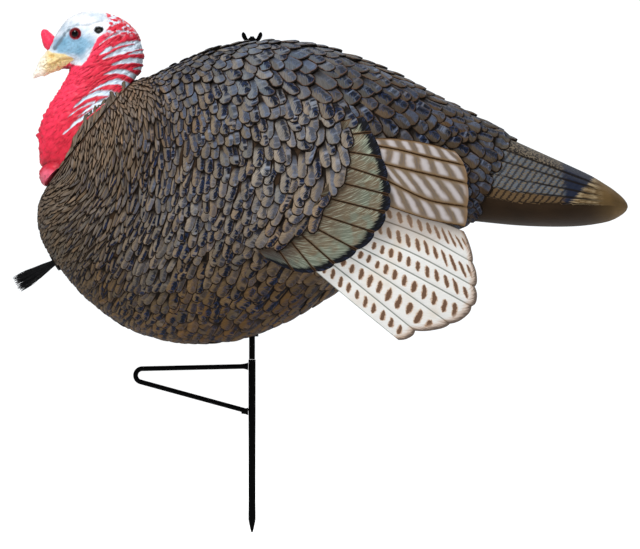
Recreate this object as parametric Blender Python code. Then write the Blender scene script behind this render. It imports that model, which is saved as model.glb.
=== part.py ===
"""A life-size turkey decoy on its steel ground stake, as separate closed solids.

The frame is +Z up, with the origin at the flat end of the spike, on the stake's axis. The head points
towards -X, the tail towards +X, and the bird's left flank faces -Y. Dimensions below are in
millimetres, and turn_into_object() scales them to metres.
"""

import math

import bpy
import numpy as np
from mathutils import Vector
from mathutils.bvhtree import BVHTree

MM = 0.001
GAP = 0.4  # clearance between neighbouring pieces

# Stations of a loft: top of the section (x, z), bottom (x, z), half width, and how far up the
# section its widest point sits, from 0 at the bottom to 1 at the top.
BODY_STATIONS = [
    ((-158, 604), (-272, 464), 56, 0.50),
    ((-126, 614), (-285, 434), 77, 0.50),
    ((-90, 631), (-281, 394), 98, 0.50),
    ((-50, 645), (-257, 355), 114, 0.50),
    ((-9, 654), (-215, 309), 124, 0.50),
    ((27, 657), (-158, 271), 130, 0.50),
    ((64, 654), (-89, 255), 132, 0.50),
    ((104, 645), (-16, 260), 130, 0.50),
    ((147, 630), (52, 287), 124, 0.50),
    ((192, 611), (111, 322), 114, 0.50),
    ((239, 586), (171, 354), 100, 0.48),
    ((285, 562), (232, 385), 84, 0.44),
    ((319, 544), (281, 409), 70, 0.38),
    ((336, 535), (292, 417), 64, 0.34),
]
TAIL_STATIONS = [
    ((379, 511), (353, 411), 71, 0.26),
    ((419, 493), (402, 409), 76, 0.30),
    ((453, 477), (440, 410), 74, 0.44),
    ((477, 463), (469, 414), 62, 0.55),
    ((493, 449), (489, 423), 40, 0.55),
    ((502, 437), (501, 432), 12, 0.50),
]
HEAD_STATIONS = [
    ((-153, 612), (-282, 490), 47, 0.50),
    ((-148, 620), (-285, 517), 42, 0.50),
    ((-146, 628), (-282, 546), 38, 0.50),
    ((-145, 638), (-270, 571), 36, 0.50),
    ((-147, 652), (-258, 591), 35, 0.50),
    ((-156, 671), (-247, 610), 35, 0.50),
    ((-175, 687), (-244, 620), 34, 0.50),
    ((-198, 695), (-249, 621), 32, 0.50),
    ((-222, 697), (-256, 621), 29, 0.48),
    ((-244, 689), (-261, 619), 24, 0.45),
    ((-261, 669), (-267, 617), 18, 0.42),
    ((-272, 648), (-274, 614), 13, 0.42),
    ((-282, 635), (-282, 611), 9, 0.42),
    ((-288, 623), (-289, 609), 6, 0.45),
    ((-292, 615), (-293, 608), 3, 0.50),
]
FULLNESS = 0.93  # exponent that turns a section's ellipse slightly square
WALL = 5.0  # thickness of the moulded hollow body
BODY_STEPS = 2  # rings between one body station and the next
AROUND_BODY = 28
AROUND_HEAD = 24
TAIL_SPIGOT = 18.0  # how far the tail's root reaches into the body
TAIL_LIP = 3.0  # how far the body's last feathers stand over the tail

# The wing, seen from the side as (x, z) outlines. Its skin lies on the body or on this bulging
# plate, whichever is further out.
PLATE_REACH = 131.0
PLATE_BEND_START = 40.0
PLATE_BEND_BACK = 0.0007
PLATE_WIDEST_Z = 465.0
PLATE_BEND_DOWN = 0.0006
PLATE_BEND_UP = 0.0022
COVER_OUTLINE = [
    (146, 551), (174, 513), (182, 455), (172, 421), (150, 386), (121, 366), (90, 350), (51, 352),
    (16, 370), (-50, 411), (-90, 465), (-83, 525), (-29, 568), (51, 581), (111, 573),
]
COVER_CENTRE = (60, 465)
COVER_RIM_POINTS = 8  # the first points of the outline, where the cover stands proud
PRIMARIES_OUTLINE = [
    (88, 346), (125, 318), (160, 289), (192, 260), (208, 257), (222, 264), (247, 254), (262, 262),
    (284, 273), (292, 296), (296, 316), (292, 338), (293, 357), (280, 396), (239, 420), (181, 445),
    (147, 412), (115, 380),
]
PRIMARIES_CENTRE = (205, 345)
SECONDARIES_OUTLINE = [
    (166, 524), (213, 520), (248, 513), (277, 503), (287, 468), (286, 433), (283, 407), (262, 405),
    (230, 415), (176, 432), (160, 445), (156, 490),
]
SECONDARIES_CENTRE = (220, 470)

# The head's moulded plug, along the normal of the neck seat.
PLUG_RADIUS = 24.0
PLUG_DEPTH = 72.0
PLUG_WALL = 4.0
STUB_RADIUS = 17.0
BARB_RADIUS = 20.0
BARB_FROM = 31.0
BARB_TO = 39.0
SOCKET_PLATE = 8.0
SOCKET_WALL = 4.0

EYE_X = -234.5
EYE_Z = 665.5
EYE_RADIUS = 8.2
EYE_SHOWS = 2.8
SNOOD_BASE = (-270, 0, 655)
SNOOD_LEAN = (-0.49, 0, 0.87)

# The beard's profiles run along BEARD_DIRECTION as (radius, distance from the root).
BEARD_ROOT = (-260, 0, 364)
BEARD_DIRECTION = (-0.86, 0, -0.51)
BEARD_HOLE_RADIUS = 10.0
TUFT_PROFILE = [(4.0, -14), (4.0, 7), (6.0, 12), (8.5, 28), (11.0, 48), (11.0, 60), (5.0, 64)]
FERRULE_PROFILE = [(0.5, -14.4), (4.3, -14.4), (4.3, -10.5), (8.5, -10.5), (8.5, -17.5), (0.5, -17.5)]
GROMMET_PROFILE = [(7.0, -7), (9.5, -7), (9.5, 4.2), (12.5, 4.2), (12.5, 6.2), (7.0, 6.2)]

SPIKE_RADIUS = 4.76
SPIKE_TIP_RADIUS = 1.5
SPIKE_TAPER = 16.6
SPIKE_TOP = 231.0
ROD_RADIUS = 3.97
ROD_SHOULDER = 637.0
STUD_RADIUS = 3.05
STUD_TOP = 664.0
STEP_WIRE_RADIUS = 3.25
STEP_REACH = 156.0
STEP_TOP_Z = 222.0
STEP_TOP_DROP = 3.2  # how much lower the upper wire sits at its bend than at the stake
STEP_BEND_RADIUS = 9.0
STEP_LOW_TILT = 15.3  # degrees that the lower wire drops towards the stake
BACK_SEAT_Z = 650.6
BACK_HOLE_RADIUS = 15.0
BACK_SEAT_RADIUS = 20.0
BELLY_HOLE_RADIUS = 9.0
BELLY_BUSH_Z = (262, 275)

# The wing nut over its captive washer. Heights are over the seat, and over the nut's own base.
NUT_WASHER_PROFILE = [(3.5, 0.3), (8.0, 0.3), (8.0, 1.6), (3.5, 1.6)]
NUT_BASE = 2.3
NUT_BORE = STUD_RADIUS + 0.35
HUB_PROFILE = [(5.6, 0), (4.6, 9.0)]
EAR_THICKNESS = 2.6
EAR_OUTLINE = [
    (2.0, 1.5), (7.5, 3.0), (12.5, 8.5), (14.0, 13.5), (12.0, 17.0), (8.8, 14.5), (5.8, 8.0), (2.0, 7.0),
]


def clear_scene():
    for obj in list(bpy.data.objects):
        bpy.data.objects.remove(obj)


def make_material(name, colour, roughness, metallic=0.0):
    material = bpy.data.materials.new(name)
    material.use_nodes = True
    shader = material.node_tree.nodes["Principled BSDF"]
    shader.inputs["Base Color"].default_value = (*colour, 1.0)
    shader.inputs["Roughness"].default_value = roughness
    shader.inputs["Metallic"].default_value = metallic
    return material


def turn_into_object(name, points, faces, material, origin=(0, 0, 0)):
    """A smooth-shaded object from points in millimetres, with its faces turned outwards."""
    points = np.asarray(points, float) - np.asarray(origin, float)
    mesh = bpy.data.meshes.new(name)
    mesh.from_pydata((points * MM).tolist(), [], [list(face) for face in faces])
    mesh.update()
    if signed_volume(mesh) < 0:
        mesh.flip_normals()
    mesh.shade_smooth()
    mesh.set_sharp_from_angle(angle=math.radians(40))
    mesh.materials.append(material)
    obj = bpy.data.objects.new(name, mesh)
    obj.location = Vector(origin) * MM
    bpy.context.scene.collection.objects.link(obj)
    return obj


def signed_volume(mesh):
    mesh.calc_loop_triangles()
    corners = [[mesh.vertices[index].co for index in tri.vertices] for tri in mesh.loop_triangles]
    return sum(a.dot(b.cross(c)) for a, b, c in corners)


def attach(child, parent):
    """Parents the child without moving it, so that it turns with the parent."""
    bpy.context.view_layer.update()
    child.parent = parent
    child.matrix_parent_inverse = parent.matrix_world.inverted()


def cut(obj, cutter):
    """Takes the cutter's shape out of the object for good, and removes the cutter."""
    modifier = obj.modifiers.new("cut", "BOOLEAN")
    modifier.operation = "DIFFERENCE"
    modifier.solver = "EXACT"
    modifier.object = cutter
    bpy.context.view_layer.update()
    graph = bpy.context.evaluated_depsgraph_get()
    result = bpy.data.meshes.new_from_object(obj.evaluated_get(graph))
    obj.modifiers.clear()
    obj.data = result
    bpy.data.objects.remove(cutter)


def strip_faces(ring_count, around, wrap):
    """Quads that join each ring of points to the next, and the last to the first where wrap is set."""
    faces = []
    for ring in range(ring_count if wrap else ring_count - 1):
        low = ring * around
        high = (ring + 1) % ring_count * around
        for step in range(around):
            after = (step + 1) % around
            faces.append((low + step, low + after, high + after, high + step))
    return faces


def loft(name, rings, material, wrap=False, origin=(0, 0, 0)):
    """A solid through the rings. It is capped at both ends, or wrapped round like a tyre."""
    around = len(rings[0])
    faces = strip_faces(len(rings), around, wrap)
    if not wrap:
        last = (len(rings) - 1) * around
        faces.append(tuple(range(around))[::-1])
        faces.append(tuple(range(last, last + around)))
    return turn_into_object(name, np.concatenate(rings), faces, material, origin)


def frame_about(axis):
    """Two unit vectors square to the axis and to each other."""
    axis = np.asarray(axis, float) / np.linalg.norm(axis)
    side = np.array((0.0, 1.0, 0.0)) if abs(axis[1]) < 0.9 else np.array((1.0, 0.0, 0.0))
    across = np.cross(axis, side)
    across /= np.linalg.norm(across)
    return axis, across, np.cross(axis, across)


def circle(centre, axis, radius, count):
    axis, across, side = frame_about(axis)
    turns = np.arange(count) * 2 * math.pi / count
    return np.asarray(centre, float) + radius * (
        np.outer(np.cos(turns), across) + np.outer(np.sin(turns), side)
    )


def turned(name, profile, centre, axis, material, count=28, wrap=False):
    """A turned solid. The profile lists (radius, distance along the axis from the centre)."""
    axis = frame_about(axis)[0]
    rings = [circle(np.asarray(centre) + axis * along, axis, radius, count) for radius, along in profile]
    return loft(name, rings, material, wrap, origin=centre)


def section_ring(top, bottom, half_width, widest, around, inset=0.0, shift=0.0):
    """One egg-shaped section in the plane of top, bottom and +Y, moved by shift along its normal."""
    top = np.array((top[0], 0.0, top[1]))
    bottom = np.array((bottom[0], 0.0, bottom[1]))
    height = np.linalg.norm(top - bottom)
    up = (top - bottom) / height
    normal = np.array((-up[2], 0.0, up[0]))
    centre = bottom + up * height * widest + normal * shift
    turns = np.arange(around) * 2 * math.pi / around
    rise = np.sign(np.cos(turns)) * np.abs(np.cos(turns)) ** FULLNESS
    side = np.sign(np.sin(turns)) * np.abs(np.sin(turns)) ** FULLNESS
    reach = np.where(rise > 0, height * (1 - widest) - inset, height * widest - inset)
    lateral = np.array((0.0, -(half_width - inset), 0.0))
    return centre + np.outer(rise * reach, up) + np.outer(side, lateral)


def smooth_stations(stations, steps):
    """The stations with Catmull-Rom steps between them, as rows of numbers."""
    rows = np.array([[*top, *bottom, width, widest] for top, bottom, width, widest in stations], float)
    padded = np.vstack([2 * rows[0] - rows[1], rows, 2 * rows[-1] - rows[-2]])
    smooth = []
    for index in range(len(rows) - 1):
        before, start, end, after = padded[index : index + 4]
        for step in range(steps):
            t = step / steps
            smooth.append(
                0.5
                * (
                    2 * start
                    + (end - before) * t
                    + (2 * before - 5 * start + 4 * end - after) * t**2
                    + (3 * start - before - 3 * end + after) * t**3
                )
            )
    smooth.append(rows[-1])
    return [((r[0], r[1]), (r[2], r[3]), r[4], r[5]) for r in smooth]


def seat_of(station):
    """Centre, normal and up direction of a station's plane. The normal points forward and up."""
    top = np.array((station[0][0], 0.0, station[0][1]))
    bottom = np.array((station[1][0], 0.0, station[1][1]))
    up = (top - bottom) / np.linalg.norm(top - bottom)
    return (top + bottom) / 2, np.array((-up[2], 0.0, up[0])), up


def moved(station, shift, top_drop=0.0, narrower=0.0):
    """A station moved along its normal, with its top lowered and its sides drawn in."""
    normal, up = seat_of(station)[1:]
    top = np.array((station[0][0], 0.0, station[0][1])) + normal * shift - up * top_drop
    bottom = np.array((station[1][0], 0.0, station[1][1])) + normal * shift
    return (top[0], top[2]), (bottom[0], bottom[2]), station[2] - narrower, station[3]


def build_body_shell(material):
    """The hollow moulded body, open at the neck seat and at the tail, and bored for the stake."""
    stations = smooth_stations(BODY_STATIONS, BODY_STEPS)
    outer = [section_ring(*station, AROUND_BODY) for station in stations]
    inner = [section_ring(*station, AROUND_BODY, inset=WALL) for station in stations[::BODY_STEPS]]
    shell = loft("body_shell", outer + inner[::-1], material, wrap=True)
    skin = loft("skin", outer, material)
    up = (0, 0, 1)
    back = (0, 0, BACK_SEAT_Z)
    belly = (0, 0, BELLY_BUSH_Z[0])
    holes = [
        (BACK_HOLE_RADIUS, -20, 20, back, up),
        (BACK_SEAT_RADIUS, 0, 20, back, up),
        (BELLY_HOLE_RADIUS, -20, 30, belly, up),
        (BEARD_HOLE_RADIUS, -20, 20, BEARD_ROOT, BEARD_DIRECTION),
    ]
    for radius, start, end, centre, axis in holes:
        cut(shell, turned("hole", [(radius, start), (radius, end)], centre, axis, material))
    return shell, skin


def build_tail(material):
    """The folded tail. Its spigot fills the body's rear opening behind a small step."""
    end = BODY_STATIONS[-1]
    around = AROUND_BODY
    spigot = [
        section_ring(*end, around, inset=WALL + GAP, shift=TAIL_SPIGOT),
        section_ring(*end, around, inset=WALL + GAP, shift=-GAP),
    ]
    root = moved(end, -GAP, top_drop=TAIL_LIP, narrower=TAIL_LIP)
    rings = [section_ring(*station, around) for station in [root, *TAIL_STATIONS]]
    return loft("tail", spigot + rings, material)


def build_neck_socket(material):
    """A plate that closes the neck opening, with a bored sleeve that guides the head's plug."""
    seat, normal, _ = seat_of(BODY_STATIONS[0])
    neck = BODY_STATIONS[0]
    around = AROUND_BODY
    bore = PLUG_RADIUS + GAP
    sleeve = bore + SOCKET_WALL
    rings = [
        section_ring(*neck, around, inset=WALL + GAP, shift=-GAP),
        circle(seat - normal * GAP, -normal, bore, around),
        circle(seat - normal * PLUG_DEPTH, -normal, bore, around),
        circle(seat - normal * PLUG_DEPTH, -normal, sleeve, around),
        circle(seat - normal * SOCKET_PLATE, -normal, sleeve, around),
        section_ring(*neck, around, inset=WALL + GAP, shift=-SOCKET_PLATE),
    ]
    return loft("neck_socket", rings, material, wrap=True)


def build_neck_plug(material):
    """The plug that slides in the socket. The head turns on its barbed stub."""
    seat, normal, _ = seat_of(BODY_STATIONS[0])
    hollow = PLUG_RADIUS - PLUG_WALL
    profile = [
        (0.5, -PLUG_WALL),
        (hollow, -PLUG_WALL),
        (hollow, 4.0 - PLUG_DEPTH),
        (PLUG_RADIUS, 4.0 - PLUG_DEPTH),
        (PLUG_RADIUS, 0.0),
        (STUB_RADIUS, 0.0),
        (STUB_RADIUS, BARB_FROM),
        (BARB_RADIUS, BARB_FROM),
        (BARB_RADIUS - 4.0, BARB_TO),
        (0.5, BARB_TO),
    ]
    return turned("neck_plug", profile, seat, normal, material)


def build_head(material):
    """Head, neck and bill in one moulding, hollowed for the plug's stub and for the fittings."""
    seat, normal, _ = seat_of(BODY_STATIONS[0])
    base = moved(BODY_STATIONS[0], GAP, narrower=2.0)
    rings = [section_ring(*station, AROUND_HEAD) for station in [base, *HEAD_STATIONS]]
    head = loft("head", rings, material, origin=seat)
    bore = STUB_RADIUS + GAP
    pocket = BARB_RADIUS + GAP
    profile = [
        (bore, -5.0),
        (bore, BARB_FROM - GAP),
        (pocket, BARB_FROM - GAP),
        (pocket, BARB_TO + GAP),
    ]
    cut(head, turned("stub_bore", profile, seat, normal, material))
    return head


def ball_rings(centre, radius, count):
    """Rings of a ball about +Y, from just off one pole to just off the other."""
    angles = [math.radians(degrees) for degrees in range(9, 180, 18)]
    return [
        circle(np.asarray(centre) + (0, radius * math.cos(a), 0), (0, 1, 0), radius * math.sin(a), count)
        for a in angles
    ]


def fit_eyes(head, material):
    """A glass eye in a socket on each side of the head."""
    graph = bpy.context.evaluated_depsgraph_get()
    tree = BVHTree.FromObject(head, graph)
    for name, side in (("left_eye", -1), ("right_eye", 1)):
        start = Vector((EYE_X, side * 200, EYE_Z)) * MM - head.location
        hit = tree.ray_cast(start, Vector((0, -side, 0)))[0]
        skin = hit.y / MM
        centre = (EYE_X, skin + side * (EYE_SHOWS - EYE_RADIUS), EYE_Z)
        socket = loft("socket", ball_rings(centre, EYE_RADIUS + GAP, 18), material)
        cut(head, socket)
        attach(loft(name, ball_rings(centre, EYE_RADIUS, 18), material, origin=centre), head)


def fit_snood(head, material):
    """The fleshy cone over the bill, its peg set in the forehead."""
    profile = [
        (3.5, -14.0),
        (5.0, -13.0),
        (9.8, -2.0),
        (9.6, 2.0),
        (7.4, 9.0),
        (5.0, 15.0),
        (2.4, 19.0),
        (0.6, 19.8),
    ]
    wider = [(radius + GAP, along - GAP) for radius, along in profile]
    cut(head, turned("snood_hole", wider, SNOOD_BASE, SNOOD_LEAN, material))
    attach(turned("snood", profile, SNOOD_BASE, SNOOD_LEAN, material, count=20), head)


def side_reach(tree, x, z):
    """Half width of the body's skin at (x, z), seen from the side, or 0 outside it."""
    hit = tree.ray_cast(Vector((x, -400, z)) * MM, Vector((0, 1, 0)))[0]
    return -hit.y / MM if hit else 0.0


def plate_reach(tree, x, z):
    """Distance from the middle plane to the wing's lowest layer."""
    back = max(x - PLATE_BEND_START, 0.0)
    height = z - PLATE_WIDEST_Z
    bend = PLATE_BEND_UP if height > 0 else PLATE_BEND_DOWN
    plate = PLATE_REACH - PLATE_BEND_BACK * back**2 - bend * height**2
    body = side_reach(tree, x, z)
    blend = 6.0
    mix = min(max(0.5 + (plate - body) / (2 * blend), 0.0), 1.0)
    return body * (1 - mix) + plate * mix + blend * mix * (1 - mix)


def closed_curve(points, steps):
    """A closed Catmull-Rom curve through the points."""
    points = np.array(points, float)
    count = len(points)
    curve = []
    for index in range(count):
        before, start, end, after = (points[(index + k) % count] for k in (-1, 0, 1, 2))
        for step in range(steps):
            t = step / steps
            curve.append(
                0.5
                * (
                    2 * start
                    + (end - before) * t
                    + (2 * before - 5 * start + 4 * end - after) * t**2
                    + (3 * start - before - 3 * end + after) * t**3
                )
            )
    return np.array(curve)


def wing_plate(name, outline, centre, layers, tree, side, material, rings=3):
    """A thin curved plate. layers(place, share) gives its inner and outer height over the wing's skin."""
    centre = np.array(centre, float)
    count = len(outline)
    shares = [(ring + 1) / rings for ring in range(rings)]
    places = [centre] + [centre + (point - centre) * share for share in shares for point in outline]
    heights = [layers(0, 0.0)] + [layers(place, share) for share in shares for place in range(count)]
    base = [plate_reach(tree, *place) for place in places]
    points = []
    for level in (1, 0):
        for place, height, reach in zip(places, heights, base):
            points.append((place[0], side * (reach + height[level]), place[1]))
    per_level = len(places)
    faces = []
    for level in (0, 1):
        first = level * per_level
        skin = [(first, first + 1 + step, first + 1 + (step + 1) % count) for step in range(count)]
        for ring in range(rings - 1):
            low = first + 1 + ring * count
            for step in range(count):
                after = (step + 1) % count
                skin.append((low + step, low + count + step, low + count + after, low + after))
        faces += skin if level == 0 else [face[::-1] for face in skin]
    rim = 1 + (rings - 1) * count
    for step in range(count):
        after = (step + 1) % count
        faces.append((rim + after, rim + step, per_level + rim + step, per_level + rim + after))
    return turn_into_object(name, points, faces, material)


def build_wing(side_name, side, skin, cover_material, secondary_material, primary_material):
    """Three layers on each flank: the long primaries, the buff secondaries, and the cover over both."""
    graph = bpy.context.evaluated_depsgraph_get()
    tree = BVHTree.FromObject(skin, graph)
    cover = closed_curve(COVER_OUTLINE, 2)
    rim = 2 * COVER_RIM_POINTS

    def cover_layers(place, share):
        on_rim = math.sin(math.pi * (place + 1.5) / (rim + 2)) if place < rim else 0.0
        lift = min(max((share - 0.45) / 0.3, 0.0), 1.0) * min(on_rim * 4.0, 1.0)
        return 1.2 + 8.3 * lift, 3.2 + 11.3 * lift

    wing_plate(
        f"{side_name}_primaries",
        closed_curve(PRIMARIES_OUTLINE, 2),
        PRIMARIES_CENTRE,
        lambda place, share: (1.2, 4.2),
        tree,
        side,
        primary_material,
    )
    wing_plate(
        f"{side_name}_secondaries",
        closed_curve(SECONDARIES_OUTLINE, 2),
        SECONDARIES_CENTRE,
        lambda place, share: (5.2, 8.4),
        tree,
        side,
        secondary_material,
    )
    wing_plate(f"{side_name}_wing_cover", cover, COVER_CENTRE, cover_layers, tree, side, cover_material, 5)


def build_beard(bristle_material, ferrule_material, grommet_material):
    """A tuft of bristles through a grommet in the breast, crimped on the inside."""
    root = (BEARD_ROOT, BEARD_DIRECTION)
    turned("beard_bristles", TUFT_PROFILE, *root, bristle_material, count=20)
    turned("beard_ferrule", FERRULE_PROFILE, *root, ferrule_material, count=20)
    turned("beard_grommet", GROMMET_PROFILE, *root, grommet_material, count=20, wrap=True)


def tube_along(name, path, radius, material, count=14):
    """A round wire along a path in the XZ plane, its ends square to it."""
    path = np.asarray(path, float)
    rings = []
    for index, point in enumerate(path):
        before = path[max(index - 1, 0)]
        after = path[min(index + 1, len(path) - 1)]
        rings.append(circle(point, after - before, radius, count))
    return loft(name, rings, material)


def build_step(material):
    """The foot step: one wire bent back on itself, welded to the spike at both ends."""
    tilt = math.radians(STEP_LOW_TILT)
    near = -(SPIKE_RADIUS + GAP + STEP_WIRE_RADIUS * math.sin(tilt))
    bend_x = STEP_BEND_RADIUS - STEP_REACH
    bend_z = STEP_TOP_Z - STEP_TOP_DROP - STEP_BEND_RADIUS
    path = [(near, 0, STEP_TOP_Z)]
    for degrees in range(90, 256, 15):
        turn = math.radians(degrees)
        along = STEP_BEND_RADIUS * math.cos(turn)
        path.append((bend_x + along, 0, bend_z + STEP_BEND_RADIUS * math.sin(turn)))
    low_x, _, low_z = path[-1]
    path.append((near, 0, low_z - (near - low_x) * math.tan(tilt)))
    return tube_along("foot_step", path, STEP_WIRE_RADIUS, material)


def build_stake(steel, zinc):
    """The spike, the upper rod with its stud, and the washers on it."""
    up = (0, 0, 1)
    origin = (0, 0, 0)
    spike = [(SPIKE_TIP_RADIUS, 0), (SPIKE_RADIUS, SPIKE_TAPER), (SPIKE_RADIUS, SPIKE_TOP)]
    turned("ground_spike", spike, origin, up, steel, count=20)
    rod = [
        (ROD_RADIUS, SPIKE_TOP + GAP),
        (ROD_RADIUS, ROD_SHOULDER),
        (STUD_RADIUS, ROD_SHOULDER),
        (STUD_RADIUS, STUD_TOP - 0.6),
        (STUD_RADIUS - 0.6, STUD_TOP),
    ]
    turned("stake_rod", rod, origin, up, steel, count=20)
    washer = [(3.5, 0.3), (9.5, 0.3), (9.5, 1.9), (3.5, 1.9)]
    turned("shoulder_washer", washer, (0, 0, ROD_SHOULDER), up, zinc, count=24, wrap=True)


def build_bushes(material):
    """The moulded bushes that carry the body on the rod, at the back and at the belly."""
    up = (0, 0, 1)
    stud_bore = STUD_RADIUS + 0.55
    plug = BACK_HOLE_RADIUS - GAP
    flange = BACK_HOLE_RADIUS + 5.0
    back = [(stud_bore, -11.1), (flange, -11.1), (flange, -7.6), (plug, -7.6), (plug, 0.0), (stud_bore, 0.0)]
    turned("back_bush", back, (0, 0, BACK_SEAT_Z), up, material, count=28, wrap=True)
    low, high = BELLY_BUSH_Z
    rod_bore = ROD_RADIUS + 0.53
    sleeve = BELLY_HOLE_RADIUS - GAP
    belly = [(rod_bore, low), (sleeve, low), (sleeve, high), (rod_bore, high)]
    turned("belly_bush", belly, (0, 0, 0), up, material, count=24, wrap=True)


def add_boolean(obj, cutter, operation):
    """Keeps the cutter as a hidden helper of a live Boolean."""
    modifier = obj.modifiers.new(cutter.name, "BOOLEAN")
    modifier.operation = operation
    modifier.solver = "EXACT"
    modifier.object = cutter
    cutter.hide_render = True
    cutter.display_type = "WIRE"
    attach(cutter, obj)


def build_wing_nut(steel, zinc):
    """The nut's hub and its two ears, united, on a washer."""
    up = (0, 0, 1)
    turned("nut_washer", NUT_WASHER_PROFILE, (0, 0, BACK_SEAT_Z), up, zinc, count=24, wrap=True)
    base = (0, 0, BACK_SEAT_Z + NUT_BASE)
    hub = turned("wing_nut", HUB_PROFILE, base, up, steel, count=24)
    for side in (-1, 1):
        curve = closed_curve([(side * x, z) for x, z in EAR_OUTLINE], 2)
        faces = [[(x, y, z + base[2]) for x, z in curve] for y in (-EAR_THICKNESS / 2, EAR_THICKNESS / 2)]
        add_boolean(hub, loft("nut_ear", np.array(faces), steel), "UNION")
    bore = turned("nut_bore", [(NUT_BORE, -5), (NUT_BORE, 25)], base, up, steel)
    add_boolean(hub, bore, "DIFFERENCE")


def main():
    clear_scene()
    feather = make_material("body_feather", (0.16, 0.13, 0.10), 0.6)
    tail_feather = make_material("tail_feather", (0.25, 0.20, 0.14), 0.6)
    cover_feather = make_material("cover_feather", (0.20, 0.17, 0.13), 0.6)
    buff_feather = make_material("buff_feather", (0.55, 0.43, 0.27), 0.6)
    white_feather = make_material("white_feather", (0.80, 0.76, 0.68), 0.6)
    skin_red = make_material("skin_red", (0.65, 0.03, 0.05), 0.45)
    glass = make_material("eye_glass", (0.02, 0.01, 0.01), 0.05)
    bristle = make_material("bristle", (0.02, 0.02, 0.02), 0.5)
    plastic = make_material("inner_plastic", (0.05, 0.05, 0.05), 0.5)
    steel = make_material("coated_steel", (0.03, 0.03, 0.03), 0.4, 0.6)
    zinc = make_material("zinc", (0.5, 0.5, 0.5), 0.35, 1.0)

    _, skin = build_body_shell(feather)
    build_tail(tail_feather)
    for side_name, side in (("left", -1), ("right", 1)):
        build_wing(side_name, side, skin, cover_feather, buff_feather, white_feather)
    bpy.data.objects.remove(skin)
    build_neck_socket(plastic)
    build_neck_plug(plastic)
    head = build_head(skin_red)
    fit_eyes(head, glass)
    fit_snood(head, skin_red)
    build_beard(bristle, zinc, plastic)
    build_stake(steel, zinc)
    build_step(steel)
    build_bushes(plastic)
    build_wing_nut(steel, zinc)


main()
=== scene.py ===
"""Looks for the turkey decoy: moulded feathers, painted head, bristle beard and black steel stake.

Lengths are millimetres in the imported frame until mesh_from() scales them. The head points towards -X
and the left flank faces -Y. The right flank's pieces mirror the left one's.
"""

import math

import bpy
import numpy as np
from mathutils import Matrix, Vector, noise
from mathutils.bvhtree import BVHTree


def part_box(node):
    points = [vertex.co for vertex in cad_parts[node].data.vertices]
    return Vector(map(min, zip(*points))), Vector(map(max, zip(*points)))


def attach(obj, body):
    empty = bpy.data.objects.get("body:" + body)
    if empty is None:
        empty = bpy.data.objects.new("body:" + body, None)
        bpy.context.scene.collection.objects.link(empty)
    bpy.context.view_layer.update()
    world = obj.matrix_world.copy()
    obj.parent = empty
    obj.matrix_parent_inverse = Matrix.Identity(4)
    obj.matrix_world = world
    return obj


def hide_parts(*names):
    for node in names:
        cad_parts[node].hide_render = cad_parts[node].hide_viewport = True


MM = 0.001
SEED = 7
GAP = 0.4  # clearance between pieces that move apart

# ---------------------------------------------------------------------------------- driving shapes
# Stations of a loft: top of the section (x, z), bottom (x, z), half width, and how far up the
# section its widest point sits.
BODY_STATIONS = [
    (-158, 604, -272, 464, 56, 0.50),
    (-126, 614, -285, 434, 77, 0.50),
    (-90, 631, -281, 394, 98, 0.50),
    (-50, 645, -257, 355, 114, 0.50),
    (-9, 654, -215, 309, 124, 0.50),
    (27, 657, -158, 271, 130, 0.50),
    (64, 654, -89, 255, 132, 0.50),
    (104, 645, -16, 260, 130, 0.50),
    (147, 630, 52, 287, 124, 0.50),
    (192, 611, 111, 322, 114, 0.50),
    (239, 586, 171, 354, 100, 0.48),
    (285, 562, 232, 385, 84, 0.44),
    (319, 544, 281, 409, 70, 0.38),
    (336, 535, 292, 417, 64, 0.34),
]
TAIL_STATIONS = [
    (332, 532, 292, 417, 60, 0.34),
    (379, 511, 353, 411, 71, 0.26),
    (419, 493, 402, 409, 76, 0.30),
    (453, 477, 440, 410, 74, 0.44),
    (477, 463, 469, 414, 62, 0.55),
    (488, 455, 483, 418, 50, 0.55),
    (496, 448, 494, 424, 36, 0.52),
    (501, 442, 500, 429, 20, 0.50),
    (503, 438, 503, 434, 6, 0.50),
]
HEAD_STATIONS = [
    (-158.3, 604.3, -272.3, 464.3, 54, 0.50),
    (-153, 612, -282, 490, 47, 0.50),
    (-148, 620, -285, 517, 42, 0.50),
    (-146, 628, -282, 546, 38, 0.50),
    (-145, 638, -270, 571, 36, 0.50),
    (-147, 652, -258, 591, 35, 0.50),
    (-156, 671, -247, 610, 35, 0.50),
    (-175, 687, -244, 620, 34, 0.50),
    (-198, 695, -249, 621, 32, 0.50),
    (-222, 697, -256, 621, 29, 0.48),
    (-244, 689, -261, 619, 24, 0.45),
    (-261, 669, -267, 617, 18, 0.42),
    (-272, 648, -274, 614, 13, 0.42),
    (-282, 635, -282, 611, 9, 0.42),
    (-288, 623, -289, 609, 6, 0.45),
    (-292, 615, -293, 608, 3, 0.50),
]
FULLNESS = 0.93  # exponent that turns a section's ellipse slightly square
NECK_SEAT = np.array((-215.0, 0.0, 534.0))
NECK_NORMAL = np.array((-0.77544, 0.0, 0.63143))

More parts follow.
